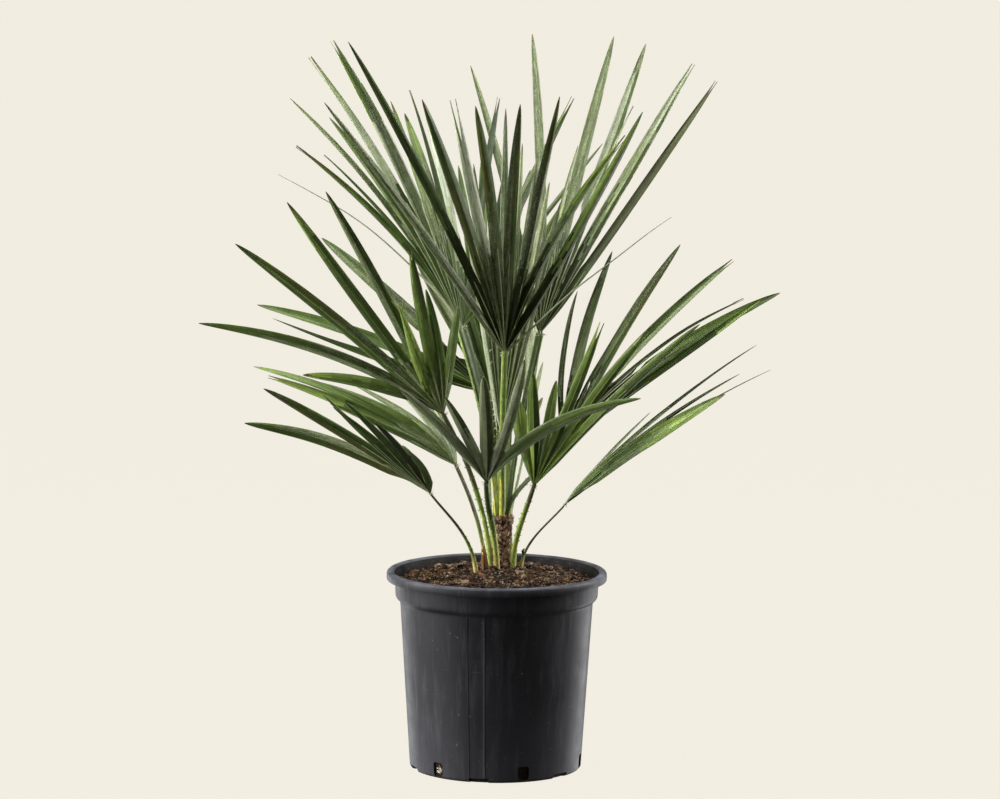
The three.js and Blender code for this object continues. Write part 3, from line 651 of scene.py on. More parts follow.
def build_stalk(fan, style, seed, thorns, fuzz):
    g = np.random.default_rng(seed)
    pile = Pile()
    f = fan.f
    k = 46
    t = np.linspace(0, 1, k)
    rooted = len(f["foot"]) == 2
    if rooted:
        t = np.concatenate([[-0.03], t])
    p = stalk_curve(fan, np.maximum(t, 0))
    if rooted:
        p[0] = p[1] - np.array([0, 0, 4.0])
    # the last bit reaches into the fan's foot
    d = unit(np.gradient(p, axis=0))
    p = np.concatenate([p, [fan.h + fan.middle * 2.0, fan.h + fan.middle * 6.0]])
    t = np.concatenate([t, [1.02, 1.04]])
    d = unit(np.gradient(p, axis=0))
    wide = unit(np.cross(d, fan.face))
    crest = np.cross(wide, d)
    if (crest[-1] @ fan.crest) < 0:
        crest = -crest
    tt = np.clip(t, 0, 1)
    w = np.where(tt < 0.5, lerp(6.2, f["stalk"][0], tt * 2), lerp(f["stalk"][0], f["stalk"][1], tt * 2 - 1))
    flare = style.get("flare", 1.25 if rooted else 1.15)
    w = w * (1 + (flare - 1) * (1 - smooth(tt / 0.22))) * (1 + (style.get("stalk_wide", 1.0) - 1) * smooth(tt / 0.5))
    w[-2:] = [f["stalk"][1] * 0.9, f["stalk"][1] * 0.35]
    thick = w * 0.62
    thick[-2:] = [f["stalk"][1] * 0.4, 0.6]
    m = 14
    u = 2 * np.pi * np.arange(m) / m
    cx, cy = np.cos(u), np.sin(u)
    # flat or slightly hollow above, rounded below, with sharp margins
    prof = np.where(cy > 0, cy, 0.42 * cy)
    prof = np.where(cy < -0.8, -0.2, prof)
    cxs = np.sign(cx) * np.abs(cx) ** 0.85
    ring = p[:, None] + wide[:, None] * (cxs[None, :, None] * (w / 2)[:, None, None]) + crest[:, None] * (prof[None, :, None] * (thick * 0.75)[:, None, None])
    s = pile.points(ring)
    faces = grid_faces(len(t), m, s, wrap=True)
    # plain colours in turn along the stalk
    bands = style["bands"]
    per = []
    ragged = g.uniform(-0.05, 0.05, m)
    for kk in range(len(t) - 1):
        for jj in range(m):
            x = (t[kk] + t[kk + 1]) / 2 + ragged[jj] + g.uniform(-0.03, 0.03)
            name = [b for lim, b in bands if x <= lim or lim == bands[-1][0]][0]
            lightside, plain, edge = STALK_TONES[name]
            c = cx[jj] * 0.5 + cx[(jj + 1) % m] * 0.5
            y = cy[jj] * 0.5 + cy[(jj + 1) % m] * 0.5
            # painted light and shade: from sides_from on, the side that looks right in front of the camera may take a
            # darker tone than the other, the shade away from the key light on the left
            right = float(wide[kk][0] * c) > 0
            if "right" in style and right and x > style.get("sides_from", 0.25):
                lightside, plain, edge = STALK_TONES[style["right"]]
            if "left" in style and not right and x > style.get("sides_from", 0.25):
                lightside, plain, edge = STALK_TONES[style["left"]]
            one = edge if abs(c) > 0.9 else (lightside if y > 0.45 else plain)
            chance = g.random()
            more = one.rstrip("+-") + ("+" if chance < 0.16 else "-") if chance < 0.3 else one
            per.append(more if more in LEAF_MATS else one)
    pile.quads(faces, pile.slots([LEAF_MATS[x] for x in per]))
    pile.tris([[s, s + j + 1, s + j] for j in range(1, m - 1)], pile.slot(LEAF_MATS[per[0]]))
    e = s + (len(t) - 1) * m
    pile.tris([[e, e + j, e + j + 1] for j in range(1, m - 1)], pile.slot(LEAF_MATS[per[-1]]))
    # thorns along both margins, leaning towards the tip
    length = np.linalg.norm(np.diff(p, axis=0), axis=1).sum()
    for sgn in (-1, 1):
        x = style.get("thorn_from", 0.1) * length
        while x < style.get("thorn_to", 0.86) * length:
            q = x / length
            i = int(np.searchsorted(t, q)) - 1
            i = min(max(i, 0), len(t) - 2)
            fr = (q - t[i]) / max(t[i + 1] - t[i], 1e-6)
            base = lerp(p[i], p[i + 1], fr)
            wd, dd, cr, ww = wide[i], d[i], crest[i], lerp(w[i], w[i + 1], fr)
            size = g.uniform(1.7, 3.3) * style.get("thorn_size", 1.0)
            root = base + wd * sgn * (ww / 2 - 0.35) + cr * 0.1
            way = unit(wd * sgn * 0.9 + dd * g.uniform(0.35, 1.1) + cr * g.uniform(-0.25, 0.25))
            tip = root + way * size
            midp = lerp(root, tip, 0.45) - dd * 0.12
            thorns.append((np.stack([root - dd * 0.2, midp, tip]), np.array([0.62, 0.4, 0.06]) * (0.8 + 0.12 * size), style.get("thorn_tone", "thorn")))
            x += g.uniform(6.0, 12.5) * style.get("thorn_gap", 1.0)
    # the tuft of pale fluff at the hastula
    count = style.get("fuzz", 46)
    for _ in range(count):
        a = g.uniform(-1, 1)
        root = fan.h + wide[-3] * a * f["stalk"][1] * 0.55 + crest[-3] * g.uniform(-1, 1) * 1.6 + fan.middle * g.uniform(-3.5, 1.5)
        way = unit(wide[-3] * (a * 0.9 + g.uniform(-0.4, 0.4)) + crest[-3] * g.uniform(-0.9, 1.1) + fan.middle * g.uniform(-0.5, 0.9))
        size = g.uniform(1.5, 5.0)
        bend = unit(g.normal(size=3)) * size * 0.3
        fuzz.append(np.stack([root, root + way * size * 0.5 + bend * 0.5, root + way * size + bend]))
    return pile


def loose_leaflet(pile, points, widths, tones, seed):
    """A single leaflet along given points, its face to the front; tones: (share, left, right)."""
    g = np.random.default_rng(seed)
    points = np.array(points, float)
    k = 30
    along = np.concatenate([[0], np.cumsum(np.linalg.norm(np.diff(points, axis=0), axis=1))])
    s = np.linspace(0, 1, k)
    p = np.stack([np.interp(s * along[-1], along, points[:, j]) for j in range(3)], -1)
    for _ in range(3):
        p[1:-1] = (p[:-2] + 2 * p[1:-1] + p[2:]) / 4
    w = np.interp(s, np.linspace(0, 1, len(widths)), widths) / 2
    d = unit(np.gradient(p, axis=0))
    crest = unit(FRONT_VIEW - p - ((FRONT_VIEW - p) * d).sum(1)[:, None] * d)
    edge = np.cross(d, crest)
    for sgn in (-1, 1):
        out = edge * (sgn * w)[:, None] - crest * (w * 0.45)[:, None]
        pts = p[:, None] + out[:, None] * ACROSS[None, :, None]
        nrm = unit(np.cross(d, out))
        nrm = nrm * np.sign((nrm * crest).sum(1))[:, None]
        pts = pts + nrm[:, None] * (0.12 * w[:, None] * np.sin(np.pi * ACROSS)[None])[:, :, None]
        a, b = pts + nrm[:, None] * (LEAF_THICKNESS / 2), pts - nrm[:, None] * (LEAF_THICKNESS / 2)
        per = np.zeros((k - 1, 6), int)
        middle = (s[1:] + s[:-1]) / 2
        for start, left, right in tones:
            on = middle[:, None] > start + 0.1 * g.uniform(-1, 1, (k - 1, 6))
            # the two halves may take a lighter and a darker tone, painted light and shade across the fold
            name = left if sgn < 0 else right
            three = pile.slots([LEAF_MATS[name], LEAF_MATS.get(name + "+", LEAF_MATS[name]), LEAF_MATS.get(name + "-", LEAF_MATS[name])])
            per[on] = three[g.choice(3, (k - 1, 6), p=[0.6, 0.22, 0.18])][on]
        uv = np.stack([sgn * np.outer(w, ACROSS), np.repeat((s * along[-1])[:, None], len(ACROSS), 1)], -1)
        if np.linalg.det(np.stack([d[4], out[4], nrm[4]])) < 0:
            shell(pile, a, b, per, per, int(per[0, 5]), uv)
        else:
            shell(pile, a[:, ::-1], b[:, ::-1], per[:, ::-1], per[:, ::-1], int(per[0, 5]), uv[:, ::-1])


# ---------------------------------------------------------------- base colours of the plant; the darkest and lightest leaf tones also serve as painted shade and painted light
def tone(name, colour, rough=0.45, specular=0.5, step=1.3, **more):
    c = srgb(*colour)
    leaf_mat(name, c, rough, specular, **more)
    leaf_mat(name + "+", scaled(c, step), rough, specular, **more)
    leaf_mat(name + "-", scaled(c, 1 / step), rough, specular, **more)


SCURF = srgb(216, 222, 202)
# upper sides, from dark to light
tone("uz", (40, 48, 24), 0.45, 0.3)
tone("ua", (69, 87, 40), 0.44, 0.3)
tone("ub", (91, 111, 52), 0.42, 0.4)
tone("uc", (114, 136, 66), 0.44, 0.4)
tone("ud", (150, 172, 84), 0.46, 0.4)
# undersides
tone("lz", (42, 52, 21), 0.5, 0.15)
tone("la", (70, 82, 46), 0.5, 0.25, scurf=SCURF, scurf_amount=0.12)
tone("lb", (98, 112, 66), 0.5, 0.3, scurf=SCURF, scurf_amount=0.2)
tone("lc", (130, 144, 94), 0.5, 0.35, scurf=SCURF, scurf_amount=0.3)
tone("ld", (166, 178, 138), 0.5, 0.4, scurf=SCURF, scurf_amount=0.4)
tone("le", (194, 202, 176), 0.5, 0.4, scurf=SCURF, scurf_amount=0.45)
tone("slate", (130, 142, 104), 0.48, 0.4, scurf=SCURF, scurf_amount=0.18)
tone("olive", (84, 90, 44), 0.5, 0.25)
tone("umber", (68, 74, 42), 0.5, 0.2)
tone("lime", (152, 178, 88), 0.46, 0.4)
# ribs and margins
tone("rib_pale", (176, 188, 140), 0.5, 0.4)
tone("rib_green", (132, 160, 76), 0.45)
tone("rib_olive", (98, 110, 60), 0.5)
tone("rib_lime", (160, 188, 82), 0.45)
tone("margin_dark", (34, 44, 20), 0.5)
tone("margin_pale", (168, 184, 118), 0.5)
tone("tip_straw", (170, 156, 84), 0.6)
tone("tip_brown", (104, 86, 50), 0.7)
tone("thread", (146, 150, 122), 0.6)
# stalks
tone("s_dark", (70, 88, 38), 0.42)
tone("s_green", (116, 140, 60), 0.42)
tone("s_bright", (160, 182, 98), 0.44)
tone("s_lime", (180, 196, 104), 0.44)
tone("s_yellow", (204, 198, 74), 0.48)
tone("s_straw", (190, 176, 104), 0.6)
tone("s_dusk", (92, 92, 62), 0.55, 0.3)
tone("s_brown", (110, 78, 48), 0.8, 0.3)
tone("thorn", (176, 176, 112), 0.5)
tone("thorn_dark", (52, 46, 28), 0.6)
tone("thorn_white", (228, 228, 200), 0.5)
tone("fuzz", (226, 224, 196), 0.8, 0.2)
tone("fibre", (136, 104, 68), 0.85, 0.2)
tone("bark_a", (150, 118, 98), 0.85, 0.25)
tone("bark_b", (98, 68, 52), 0.9, 0.2)
tone("bark_c", (206, 178, 158), 0.85, 0.25)
tone("bark_d", (34, 24, 17), 0.9, 0.2)

# name: (rounded side, flat side, margins)
STALK_TONES = {
    "dark": ("s_dark", "s_dark-", "s_green"),
    "green": ("s_green", "s_dark", "s_bright-"),
    "bright": ("s_bright", "s_green", "s_lime"),
    "lime": ("s_lime", "s_bright", "s_lime+"),
    "yellow": ("s_yellow", "s_lime", "s_yellow+"),
    "straw": ("s_straw", "s_straw-", "s_straw+"),
    "brown": ("s_brown", "s_brown-", "s_brown+"),
    "dusk": ("s_dusk", "s_dusk-", "s_dusk+"),
}

PLAIN = dict(under=["lb", "lb", "lc", "la"], upper=["ub", "ua", "ub", "uc"], rib="rib_green", bands=[(0.1, "lime"), (0.35, "green"), (1, "dark")])
# tones for each frond and leaflet: partly each leaflet's own colour, partly painted light and shade, as darker and
# lighter tones are given to leaflets and halves that lie in shade or in light
STYLES = {
    "upper_front": dict(
        under=["la", "lz", "lz+"], rib="rib_pale-", fold0=62, fold1=44, fold2=30, rib_width=0.55, wide=1.12, bands=[(0.24, "yellow"), (0.4, "green"), (1, "bright")], right="green", sides_from=0.0, fuzz=70, rib_to=1.1,
        leaflets={
            0: dict(under="la", margin="margin_pale-", along=[(0.45, "lb"), (0.75, "lc")]),
            1: dict(under="lz", along=[(0.4, "ua"), (0.7, "ub-")], fold=20, twist=0, bifid=0),
            2: dict(under="lz", along=[(0.35, ("olive-", "ua-")), (0.7, "ua")], rib_far="la", bifid=0, edge_highlight="lb"),
            3: dict(under="lb", along=[(0.3, "lc"), (0.45, ("ld", "le"))], bifid=0.84, rib_far="le", fold=24, twist=8),
            4: dict(under="lz", under_l="lb-", along=[(0.35, ("lb-", "ua-")), (0.6, ("olive", "ua"))], rib_far="olive", fold=36),
            5: dict(under="la", along=[(0.3, ("lb-", "ua")), (0.6, ("lb-", "olive"))], fold=14, twist=0, rib_far="olive+"),
            6: dict(under="lz", along=[(0.35, ("la-", "lb")), (0.75, "olive-")], rib_far="la"),
            7: dict(under="lz", along=[(0.45, "la"), (0.62, ("uc", "ub")), (0.8, ("ud-", "uc"))], bifid=0.93, rib_far="lb"),
            8: dict(under="lz", along=[(0.4, ("uc", "uz")), (0.85, ("uc", "la"))], fold=44, rib_far="lb", twist=0),
        },
    ),
    "upper_right": dict(
        under=["la", "lz+", "la-"], upper=["ua", "ua-", "uz+"], rib="rib_pale-", rib_to=1.0, wide=1.15, bands=[(0.3, "green"), (1, "green")], right="dark", stalk_wide=1.2, thorn_gap=0.6, thorn_size=0.8, thorn_tone="thorn_white", fuzz=90,
        leaflets={
            0: dict(under="la", along=[(0.4, "lb")], bifid=0, twist=10),
            1: dict(under="lz+", along=[(0.3, ("lb", "la")), (0.8, "lb-")], fold=24, twist=0, bifid=0, edge_highlight="lc"),
            2: dict(under="la", along=[(0.3, "lb"), (0.5, "lc")]),
            3: dict(under="lz+", along=[(0.3, ("lb", "la")), (0.75, ("lb", "la"))], fold=24, twist=0, edge_highlight="lc"),
            4: dict(under="la", along=[(0.3, ("lc", "lb")), (0.5, "ld-")]),
            5: dict(under="lz+", along=[(0.3, ("ld-", "ua-")), (0.9, "lb")], fold=30, twist=0, edge_highlight="le"),
            6: dict(under="lz+", along=[(0.32, ("lb", "lz")), (0.5, ("lc+", "lz+")), (0.72, ("ld", "la-")), (0.9, ("ld", "lb-"))], fold=30, twist=0, edge_highlight="le"),
            7: dict(under="lz", along=[(0.3, "umber-"), (0.75, "umber")], fold=18, rib_far="umber", twist=0),
        },
    ),
    "upper_left": dict(
        under=["lb", "lc", "ld", "lb"], upper=["ua", "ua-", "ub-"], rib="rib_pale-", rib_to=1.2, wide=1.32, bands=[(0.36, "yellow"), (1, "green")], left="green", right="dark", sides_from=0.36, stalk_wide=1.5, thorn_gap=0.3, thorn_size=0.55, thorn_tone="thorn_white", fuzz=130,
        leaflets={
            1: dict(under="lb", along=[(0.45, ("ua", "ub")), (0.8, "olive")], shape=([0, 1], [0.85, 0.8])),
            2: dict(under="la"),
            3: dict(under="ld-", along=[(0.4, "lc")]),
            4: dict(under="lb", along=[(0.4, ("ub", "ua-")), (0.8, "ub")], fold=30),
            5: dict(under="ld", along=[(0.5, "ld-"), (0.8, "lc")], bifid=0.9),
            6: dict(under="lc", along=[(0.35, ("ld", "la")), (0.75, ("ub", "ua"))], edge_highlight="le-"),
            7: dict(under="la", along=[(0.35, "lb"), (0.5, ("uc", "lc")), (0.8, "uc")], bifid=0),
            8: dict(under="la", along=[(0.4, ("ub", "lb")), (0.8, "uc")], fold=22, dry=0.05, dry_tone="umber", bifid=0),
            9: dict(under="lz", along=[(0.5, "ua")]),
            10: dict(under="lb", along=[(0.3, "lc"), (0.42, "ld"), (0.6, "le")], fold=24),
            11: dict(under="lz", along=[(0.6, "ua-")], bifid=0.93),
            12: dict(under="la", along=[(0.4, ("lc", "la")), (0.7, ("uc", "ua"))], bifid=0.92),
            13: dict(under="lz"),
        },
    ),
    "inner_left": dict(
        under=["lb", "la"], upper=["ua", "ub"], wide=1.15, bands=[(0.35, "yellow"), (1, "green")],
        leaflets={
            0: dict(tone="lz", along=[(0.3, "ua-")], shape=([0, 0.5, 0.75, 1], [1, 1, 0.55, 0.3])),
            1: dict(tone="ua", along=[(0.3, "ua+"), (0.75, "ub")], edge_highlight="ub+", fold=20, twist=0, bifid=0),
            2: dict(tone="uz"),
            3: dict(tone="uz", along=[(0.33, ("lb", "la")), (0.75, ("lb", "ua"))], shape=([0, 0.3, 0.42, 1], [0.3, 0.35, 1.15, 1.2]), fold=20, twist=0, bifid=0, dry=0),
            4: dict(tone="la", along=[(0.5, "lc")]),
        },
    ),
    "mid_left": dict(
        under=["ua", "la"], upper=["ub", "ua"], wide=1.2, rib="rib_pale-", rib_to=1.0, edge_highlight="uc", bands=[(0.32, "lime"), (0.5, "green"), (1, "dusk")], thorn_gap=1.6, thorn_tone="thorn_dark",
        leaflets={
            0: dict(tone="uz", along=[(0.35, "ub"), (0.6, "uc"), (0.9, "ud")], fold=24, twist=0),
            1: dict(tone="lb", along=[(0.3, ("lc", "la")), (0.6, ("lb+", "ub-")), (0.8, "ub")], fold=26, twist=0),
            2: dict(tone="lc", along=[(0.25, ("ua+", "lb-")), (0.55, ("ua", "olive+")), (0.9, "ua")], fold=26, twist=0, middle="uc"),
            3: dict(tone="lc", along=[(0.2, ("ua", "ub-")), (0.7, ("ub", "ub-")), (0.86, "uc+")], fold=24, twist=0),
            4: dict(tone="lc", along=[(0.2, ("lb-", "ua")), (0.6, ("lb", "ua"))], fold=26, twist=0),
            5: dict(tone="lb", along=[(0.2, ("ub", "uc-")), (0.6, ("uc", "ub-"))], fold=20, twist=0),
            6: dict(tone="lb", along=[(0.25, ("ua", "ub")), (0.8, "ub")], fold=24, twist=0),
            7: dict(tone="lb", along=[(0.3, "ub")], twist=0),
        },
    ),
    "low_left": dict(
        under=["ub", "uc-"], upper=["uc-", "ub"], rib="rib_pale-", rib_to=1.0, wide=1.1, edge_highlight="uc", flare=2.0, bands=[(0.2, "brown"), (0.28, "straw"), (0.55, "green"), (1, "dusk")], thorn_gap=1.6, thorn_tone="thorn_dark",
        leaflets={
            0: dict(tone="lb", along=[(0.3, "ub-"), (0.7, "uc-")]),
            1: dict(tone="lb", along=[(0.3, "ub"), (0.62, "uc+"), (0.8, "ud-")], fold=24, twist=0, look=0.4),
            2: dict(tone="lb", along=[(0.3, ("ua+", "ub")), (0.7, "ub+"), (0.88, "uc+")], fold=24, twist=0),
            3: dict(tone="lb", along=[(0.3, ("ub", "uc-")), (0.7, "ub")]),
            4: dict(tone="lc", along=[(0.4, "lb")]),
            5: dict(tone="ld-", along=[(0.4, "lc")]),
            6: dict(tone="ld", along=[(0.4, "lc")]),
            7: dict(tone="ld", along=[(0.4, "lc")]),
        },
    ),
    "lowest_left": dict(
        under=["ua", "uz+"], upper=["ua", "ua-"], rib="rib_pale-", rib_to=1.6, wide=1.12, edge_highlight="ud-", bands=[(0.14, "straw"), (0.4, "green"), (1, "dusk")], thorn_gap=1.6, thorn_tone="thorn_dark",
        leaflets={
            0: dict(tone="la", along=[(-1, ("olive", "slate-")), (0.6, ("ua+", "lb-")), (0.85, ("ub", "ub-"))], fold=26, twist=0, look=0.9, bifid=0),
            1: dict(tone="la", along=[(-1, ("olive", "ua-")), (0.6, ("olive", "ua")), (0.9, "la")], fold=26, twist=0, look=0.8, bifid=0),
        },
    ),
    "low_front": dict(
        under=["slate+", "slate+", "slate"], upper=["ub"], rib="rib_pale-", edge_highlight="lc", fold1=30, fold2=20, twist=6, bands=[(0.12, "straw"), (0.4, "lime"), (0.6, "green"), (1, "dark")],
        leaflets={0: dict(tone="slate", along=[(-1, ("slate+", "slate"))], twist=0, look=0.3), 1: dict(tone="slate", along=[(-1, ("slate", "slate+")), (0.6, ("slate+", "la"))], fold=22, twist=0), 2: dict(tone="slate", along=[(-1, ("slate+", "ua")), (0.5, ("slate+", "ua"))], fold=24, twist=0), 3: dict(tone="slate", along=[(-1, ("ld-", "lb-")), (0.4, ("ld", "lb"))], fold=24, twist=0), 4: dict(tone="ua", along=[(-1, ("ua+", "slate")), (0.3, ("ub-", "lc-")), (0.55, ("ub", "lc")), (0.85, "ub+")], rib_far="uc", fold=26, twist=0)},
    ),
    "low_right_front": dict(
        under=["lc", "uc"], upper=["uc", "ud"], rib="rib_lime", rib_to=1.9, wide=1.15, bands=[(0.3, "lime"), (0.62, "bright"), (0.8, "green"), (1, "dusk")], thorn_gap=1.6, flare=1.5, thorn_tone="thorn_dark",
        leaflets={
            0: dict(tone="uc", along=[(-1, ("ub", "lime")), (0.35, ("ub", "uc+")), (0.6, ("uc", "ud-"))], fold=26, twist=0, bifid=0, shape=([0, 0.4, 1], [1, 1.5, 1.5])),
            1: dict(tone="uc", along=[(-1, ("lime", "ua")), (0.45, ("uc", "ub-"))], fold=26, twist=0, bifid=0, edge_highlight="ud"),
            2: dict(tone="uc", along=[(-1, ("ua", "lime"))], twist=0, edge_highlight="ud"),
            3: dict(tone="uc", along=[(-1, ("lime", "ub-")), (0.4, ("uc-", "ua")), (0.7, ("uc", "ua+")), (0.86, ("ud", "uc"))], fold=28, edge_highlight="ud", twist=0, bifid=0.9),
            4: dict(tone="uc", along=[(-1, ("ub-", "lime")), (0.38, ("uc-", "ub-")), (0.8, "ub+"), (0.92, "ud-")], fold=28, edge_highlight="ud", twist=0, bifid=0.93),
            5: dict(tone="ub", along=[(-1, ("lime-", "ua")), (0.5, ("ub", "ua"))], twist=0, edge_highlight="ud"),
        },
    ),
    "mid_right": dict(
        under=["la+", "la"], upper=["ua+", "ua"], rib="rib_pale-", rib_to=1.2, wide=1.1, edge_highlight="lc", bands=[(1, "green")], thorn_gap=1.8, thorn_tone="thorn_dark",
        leaflets={
            0: dict(tone="lz", along=[(0.3, ("lc-", "uz"))], twist=0),
            1: dict(tone="lz", along=[(0.3, ("lb", "ua")), (0.8, "la")], fold=24, twist=0),
            2: dict(tone="uz", along=[(0.6, "la")], shape=([0, 1], [0.7, 0.45]), twist=0),
            3: dict(tone="la", along=[(0.3, ("lb+", "ua")), (0.6, ("lb", "olive"))], fold=26, twist=0),
            4: dict(tone="lz", along=[(0.3, ("ua-", "lb")), (0.6, ("ua", "lb+")), (0.9, "ub")], fold=26, twist=0),
            5: dict(tone="uz", along=[(0.35, ("lb", "uz")), (0.6, ("la", "uz"))], shape=([0, 1], [0.8, 0.55]), twist=0),
            6: dict(tone="uz", along=[(0.3, ("ub", "ua-")), (0.6, ("ub+", "ua-")), (0.9, "ua")], fold=26, twist=0, edge_highlight="uc"),
            7: dict(tone="uz", along=[(0.4, ("ua", "uz")), (0.8, "uc")], twist=0),
        },
    ),
    "low_right": dict(
        under=["ub", "ua"], upper=["ub", "ua"], rib="rib_pale-", rib_to=1.0, wide=1.1, bands=[(0.12, "straw"), (0.3, "green"), (1, "dusk")], thorn_gap=1.8, thorn_tone="thorn_dark",
        leaflets={
            0: dict(tone="ua", along=[(0.3, ("la", "ub")), (0.5, ("ub+", "uc")), (0.62, ("uc", "lime")), (0.85, "uc")], fold=30, twist=0, shape=([0, 0.45, 0.6, 1], [1, 1.1, 1.4, 1.2]), look=0.5, bifid=0),
            1: dict(tone="ua", along=[(0.5, "uz"), (0.85, "la")], shape=([0, 0.4, 0.6, 1], [1, 0.9, 0.4, 0.3]), twist=0),
            2: dict(tone="ub", along=[(0.25, ("uc", "ua")), (0.6, "lz")], shape=([0, 0.5, 0.75, 1], [1, 1, 0.8, 0.6]), twist=0),
            3: dict(tone="ub", along=[(0.3, ("lc", "ub")), (0.55, "lz")], shape=([0, 0.5, 0.75, 1], [1, 1, 0.7, 0.6]), twist=0),
            4: dict(tone="ld-", along=[(0.5, "lc")], twist=0, shape=([0, 1], [0.8, 0.6])),
        },
    ),
    "centre": dict(under=["lc", "la", "ld-"], upper=["lc", "lb"], rib="rib_pale-", twist=6, wide=1.5, joined=0.75, rib_to=1.0, sway=0.4, bands=[(1, "bright")], thorn_gap=0.4, thorn_tone="thorn_white", edge_highlight="ld"),
}


# ---------------------------------------------------------------- the fronds
thorns, fuzz = [], []
fans = {f["name"]: Fan(f) for f in FRONDS}
for number, (name, fan) in enumerate(fans.items()):
    style = {**PLAIN, **STYLES.get(name, {})}
    pile = build_fan(fan, style, 100 + number)
    pile.build("fan_" + name, slot="leaf_green", replaces=["blade_" + name])
    stalk = build_stalk(fan, style, 300 + number, thorns, fuzz)
    stalk.build("stalk_" + name, sharp=50, slot="petiole_green", replaces=["petiole_" + name])

# a short torn leaflet of the middle left frond, turned to the front
pile = Pile()
loose_leaflet(pile, [np.array([-123.7, -108.0, 602.7]), np.array([-113.9, -94.0, 573.6]), np.array([-104.1, -76.0, 541.4]), fans["mid_left"].h + fans["mid_left"].middle * 26, fans["mid_left"].h + fans["mid_left"].middle * 4], [1.5, 10, 15.5, 11, 3.0], [(-1, "ud", "lime"), (0.4, "uc", "ud"), (0.75, "ub", "ua")], 71)
loose_leaflet(pile, [np.array([-123.7, -108.0, 602.7]) + np.array([-9.0, 0.5, 6.0]), lerp(np.array([-123.7, -108.0, 602.7]), np.array([-113.9, -94.0, 573.6]), 0.3), np.array([-113.9, -94.0, 573.6]) + np.array([0, 1.0, 0])], [0.8, 2.4, 1.0], [(-1, "tip_straw", "lime"), (0.5, "lime", "ub")], 72)
loose_leaflet(pile, [np.array([-123.7, -108.0, 602.7]) + np.array([5.0, 0.8, 10.0]), lerp(np.array([-123.7, -108.0, 602.7]), np.array([-113.9, -94.0, 573.6]), 0.4), np.array([-113.9, -94.0, 573.6]) + np.array([1.0, 1.0, 0])], [0.5, 2.0, 1.0], [(-1, "tip_straw", "lime"), (0.5, "lime", "ub")], 73)
pile.build("loose_leaflet", slot="leaf_green")

for low, high in np.array([[[-5.1, 6.0, 460.4], [-12.7, 2.0, 452.0]], [[-4.4, 6.0, 452.8], [-11.3, 2.0, 445.6]], [[-3.7, 6.0, 445.1], [-10.0, 2.0, 437.9]], [[-3.0, 6.0, 434.9], [-8.7, 2.0, 430.3]], [[-5.8, 6.0, 471.9], [-10.9, 2.0, 467.3]], [[-3.6, 6.0, 424.6], [-9.3, 2.0, 421.3]], [[-11.4, 6.0, 531.9], [-8.2, 2.0, 536.2]], [[-10.6, 6.0, 516.6], [-7.4, 2.0, 520.9]], [[-9.9, 6.0, 500.0], [-6.7, 2.0, 504.4]], [[-9.1, 6.0, 482.1], [-5.8, 2.0, 486.5]]]):
    thorns.append((np.stack([low, (low + high) / 2 + [0, 0, 0.6], high]), np.array([0.9, 0.7, 0.12]), "thorn_white"))
pile = Pile()
tubes(pile, np.array([[33.7, 22.0, 268.1], [32.7, 22.0, 274.5], [35.0, 22.0, 277.8]]), np.array([1.0, 1.9, 0.7]), pile.slot(LEAF_MATS["thorn_dark"]), sides=6)
pile.build("dry_bud", slot="petiole_green")

pile = Pile()
by_tone = {}
for p, r, t in thorns:
    by_tone.setdefault(t, []).append((p, r))
for t, items in by_tone.items():
    tubes(pile, np.array([p for p, r in items]), np.array([r for p, r in items]), pile.slot(LEAF_MATS[t]), sides=4)
pile.build("thorns", slot="petiole_green")

pile = Pile()
fuzz = np.array(fuzz)
tubes(pile, fuzz, np.array([0.28, 0.2, 0.05])[None], pile.slot(LEAF_MATS["fuzz"]), sides=3)
pile.build("hastula_fluff", slot="petiole_green")

# threads: the thin outermost leaflets
pile = Pile()
for name, fan in fans.items():
    for row in fan.f["leaflets"]:
        if row[4] <= 4:
            r = np.linspace(2, row[1], 44)
            p = fan.centre(row, r)
            p += fan.face * (1.2 * np.sin(r / 23.0))[:, None]
            tubes(pile, p, np.interp(r / row[1], [0, 0.3, 0.8, 1], [1.7, 1.25, 0.75, 0.3]), pile.slot(LEAF_MATS["thread"]), sides=6)
pile.build("thread_leaflets", slot="leaf_green")


# ---------------------------------------------------------------- the spear: the youngest leaf, still closed
pile = Pile()
foot, top = np.array([12.5, 30.5, 318.0]), np.array([15.0, 31.0, 560.0])
k = 40
t = np.linspace(0, 1, k)
axis = foot + (top - foot) * t[:, None]
w = np.interp(t, np.linspace(0, 1, 7), [5, 5.4, 6.4, 7.6, 7.2, 5, 1.0]) / 2
m = 20
u = 2 * np.pi * np.arange(m) / m
pleat = 1 + 0.16 * np.cos(u * 10)[None] * smooth(t * 3)[:, None]
ring = axis[:, None] + np.stack([np.cos(u)[None] * w[:, None] * pleat, np.sin(u)[None] * w[:, None] * 0.5 * pleat, np.zeros((k, m))], -1)
s = pile.points(ring)
pile.quads(grid_faces(k, m, s, wrap=True), np.tile(pile.slots([LEAF_MATS[["s_lime", "lc"][j % 2]] for j in range(m)]), k - 1))
pile.tris([[s, s + j + 1, s + j] for j in range(1, m - 1)], 0)
e = s + (k - 1) * m
pile.tris([[e, e + j, e + j + 1] for j in range(1, m - 1)], 0)
pile.build("spear_leaf", slot="spear_leaf", replaces=["spear"])


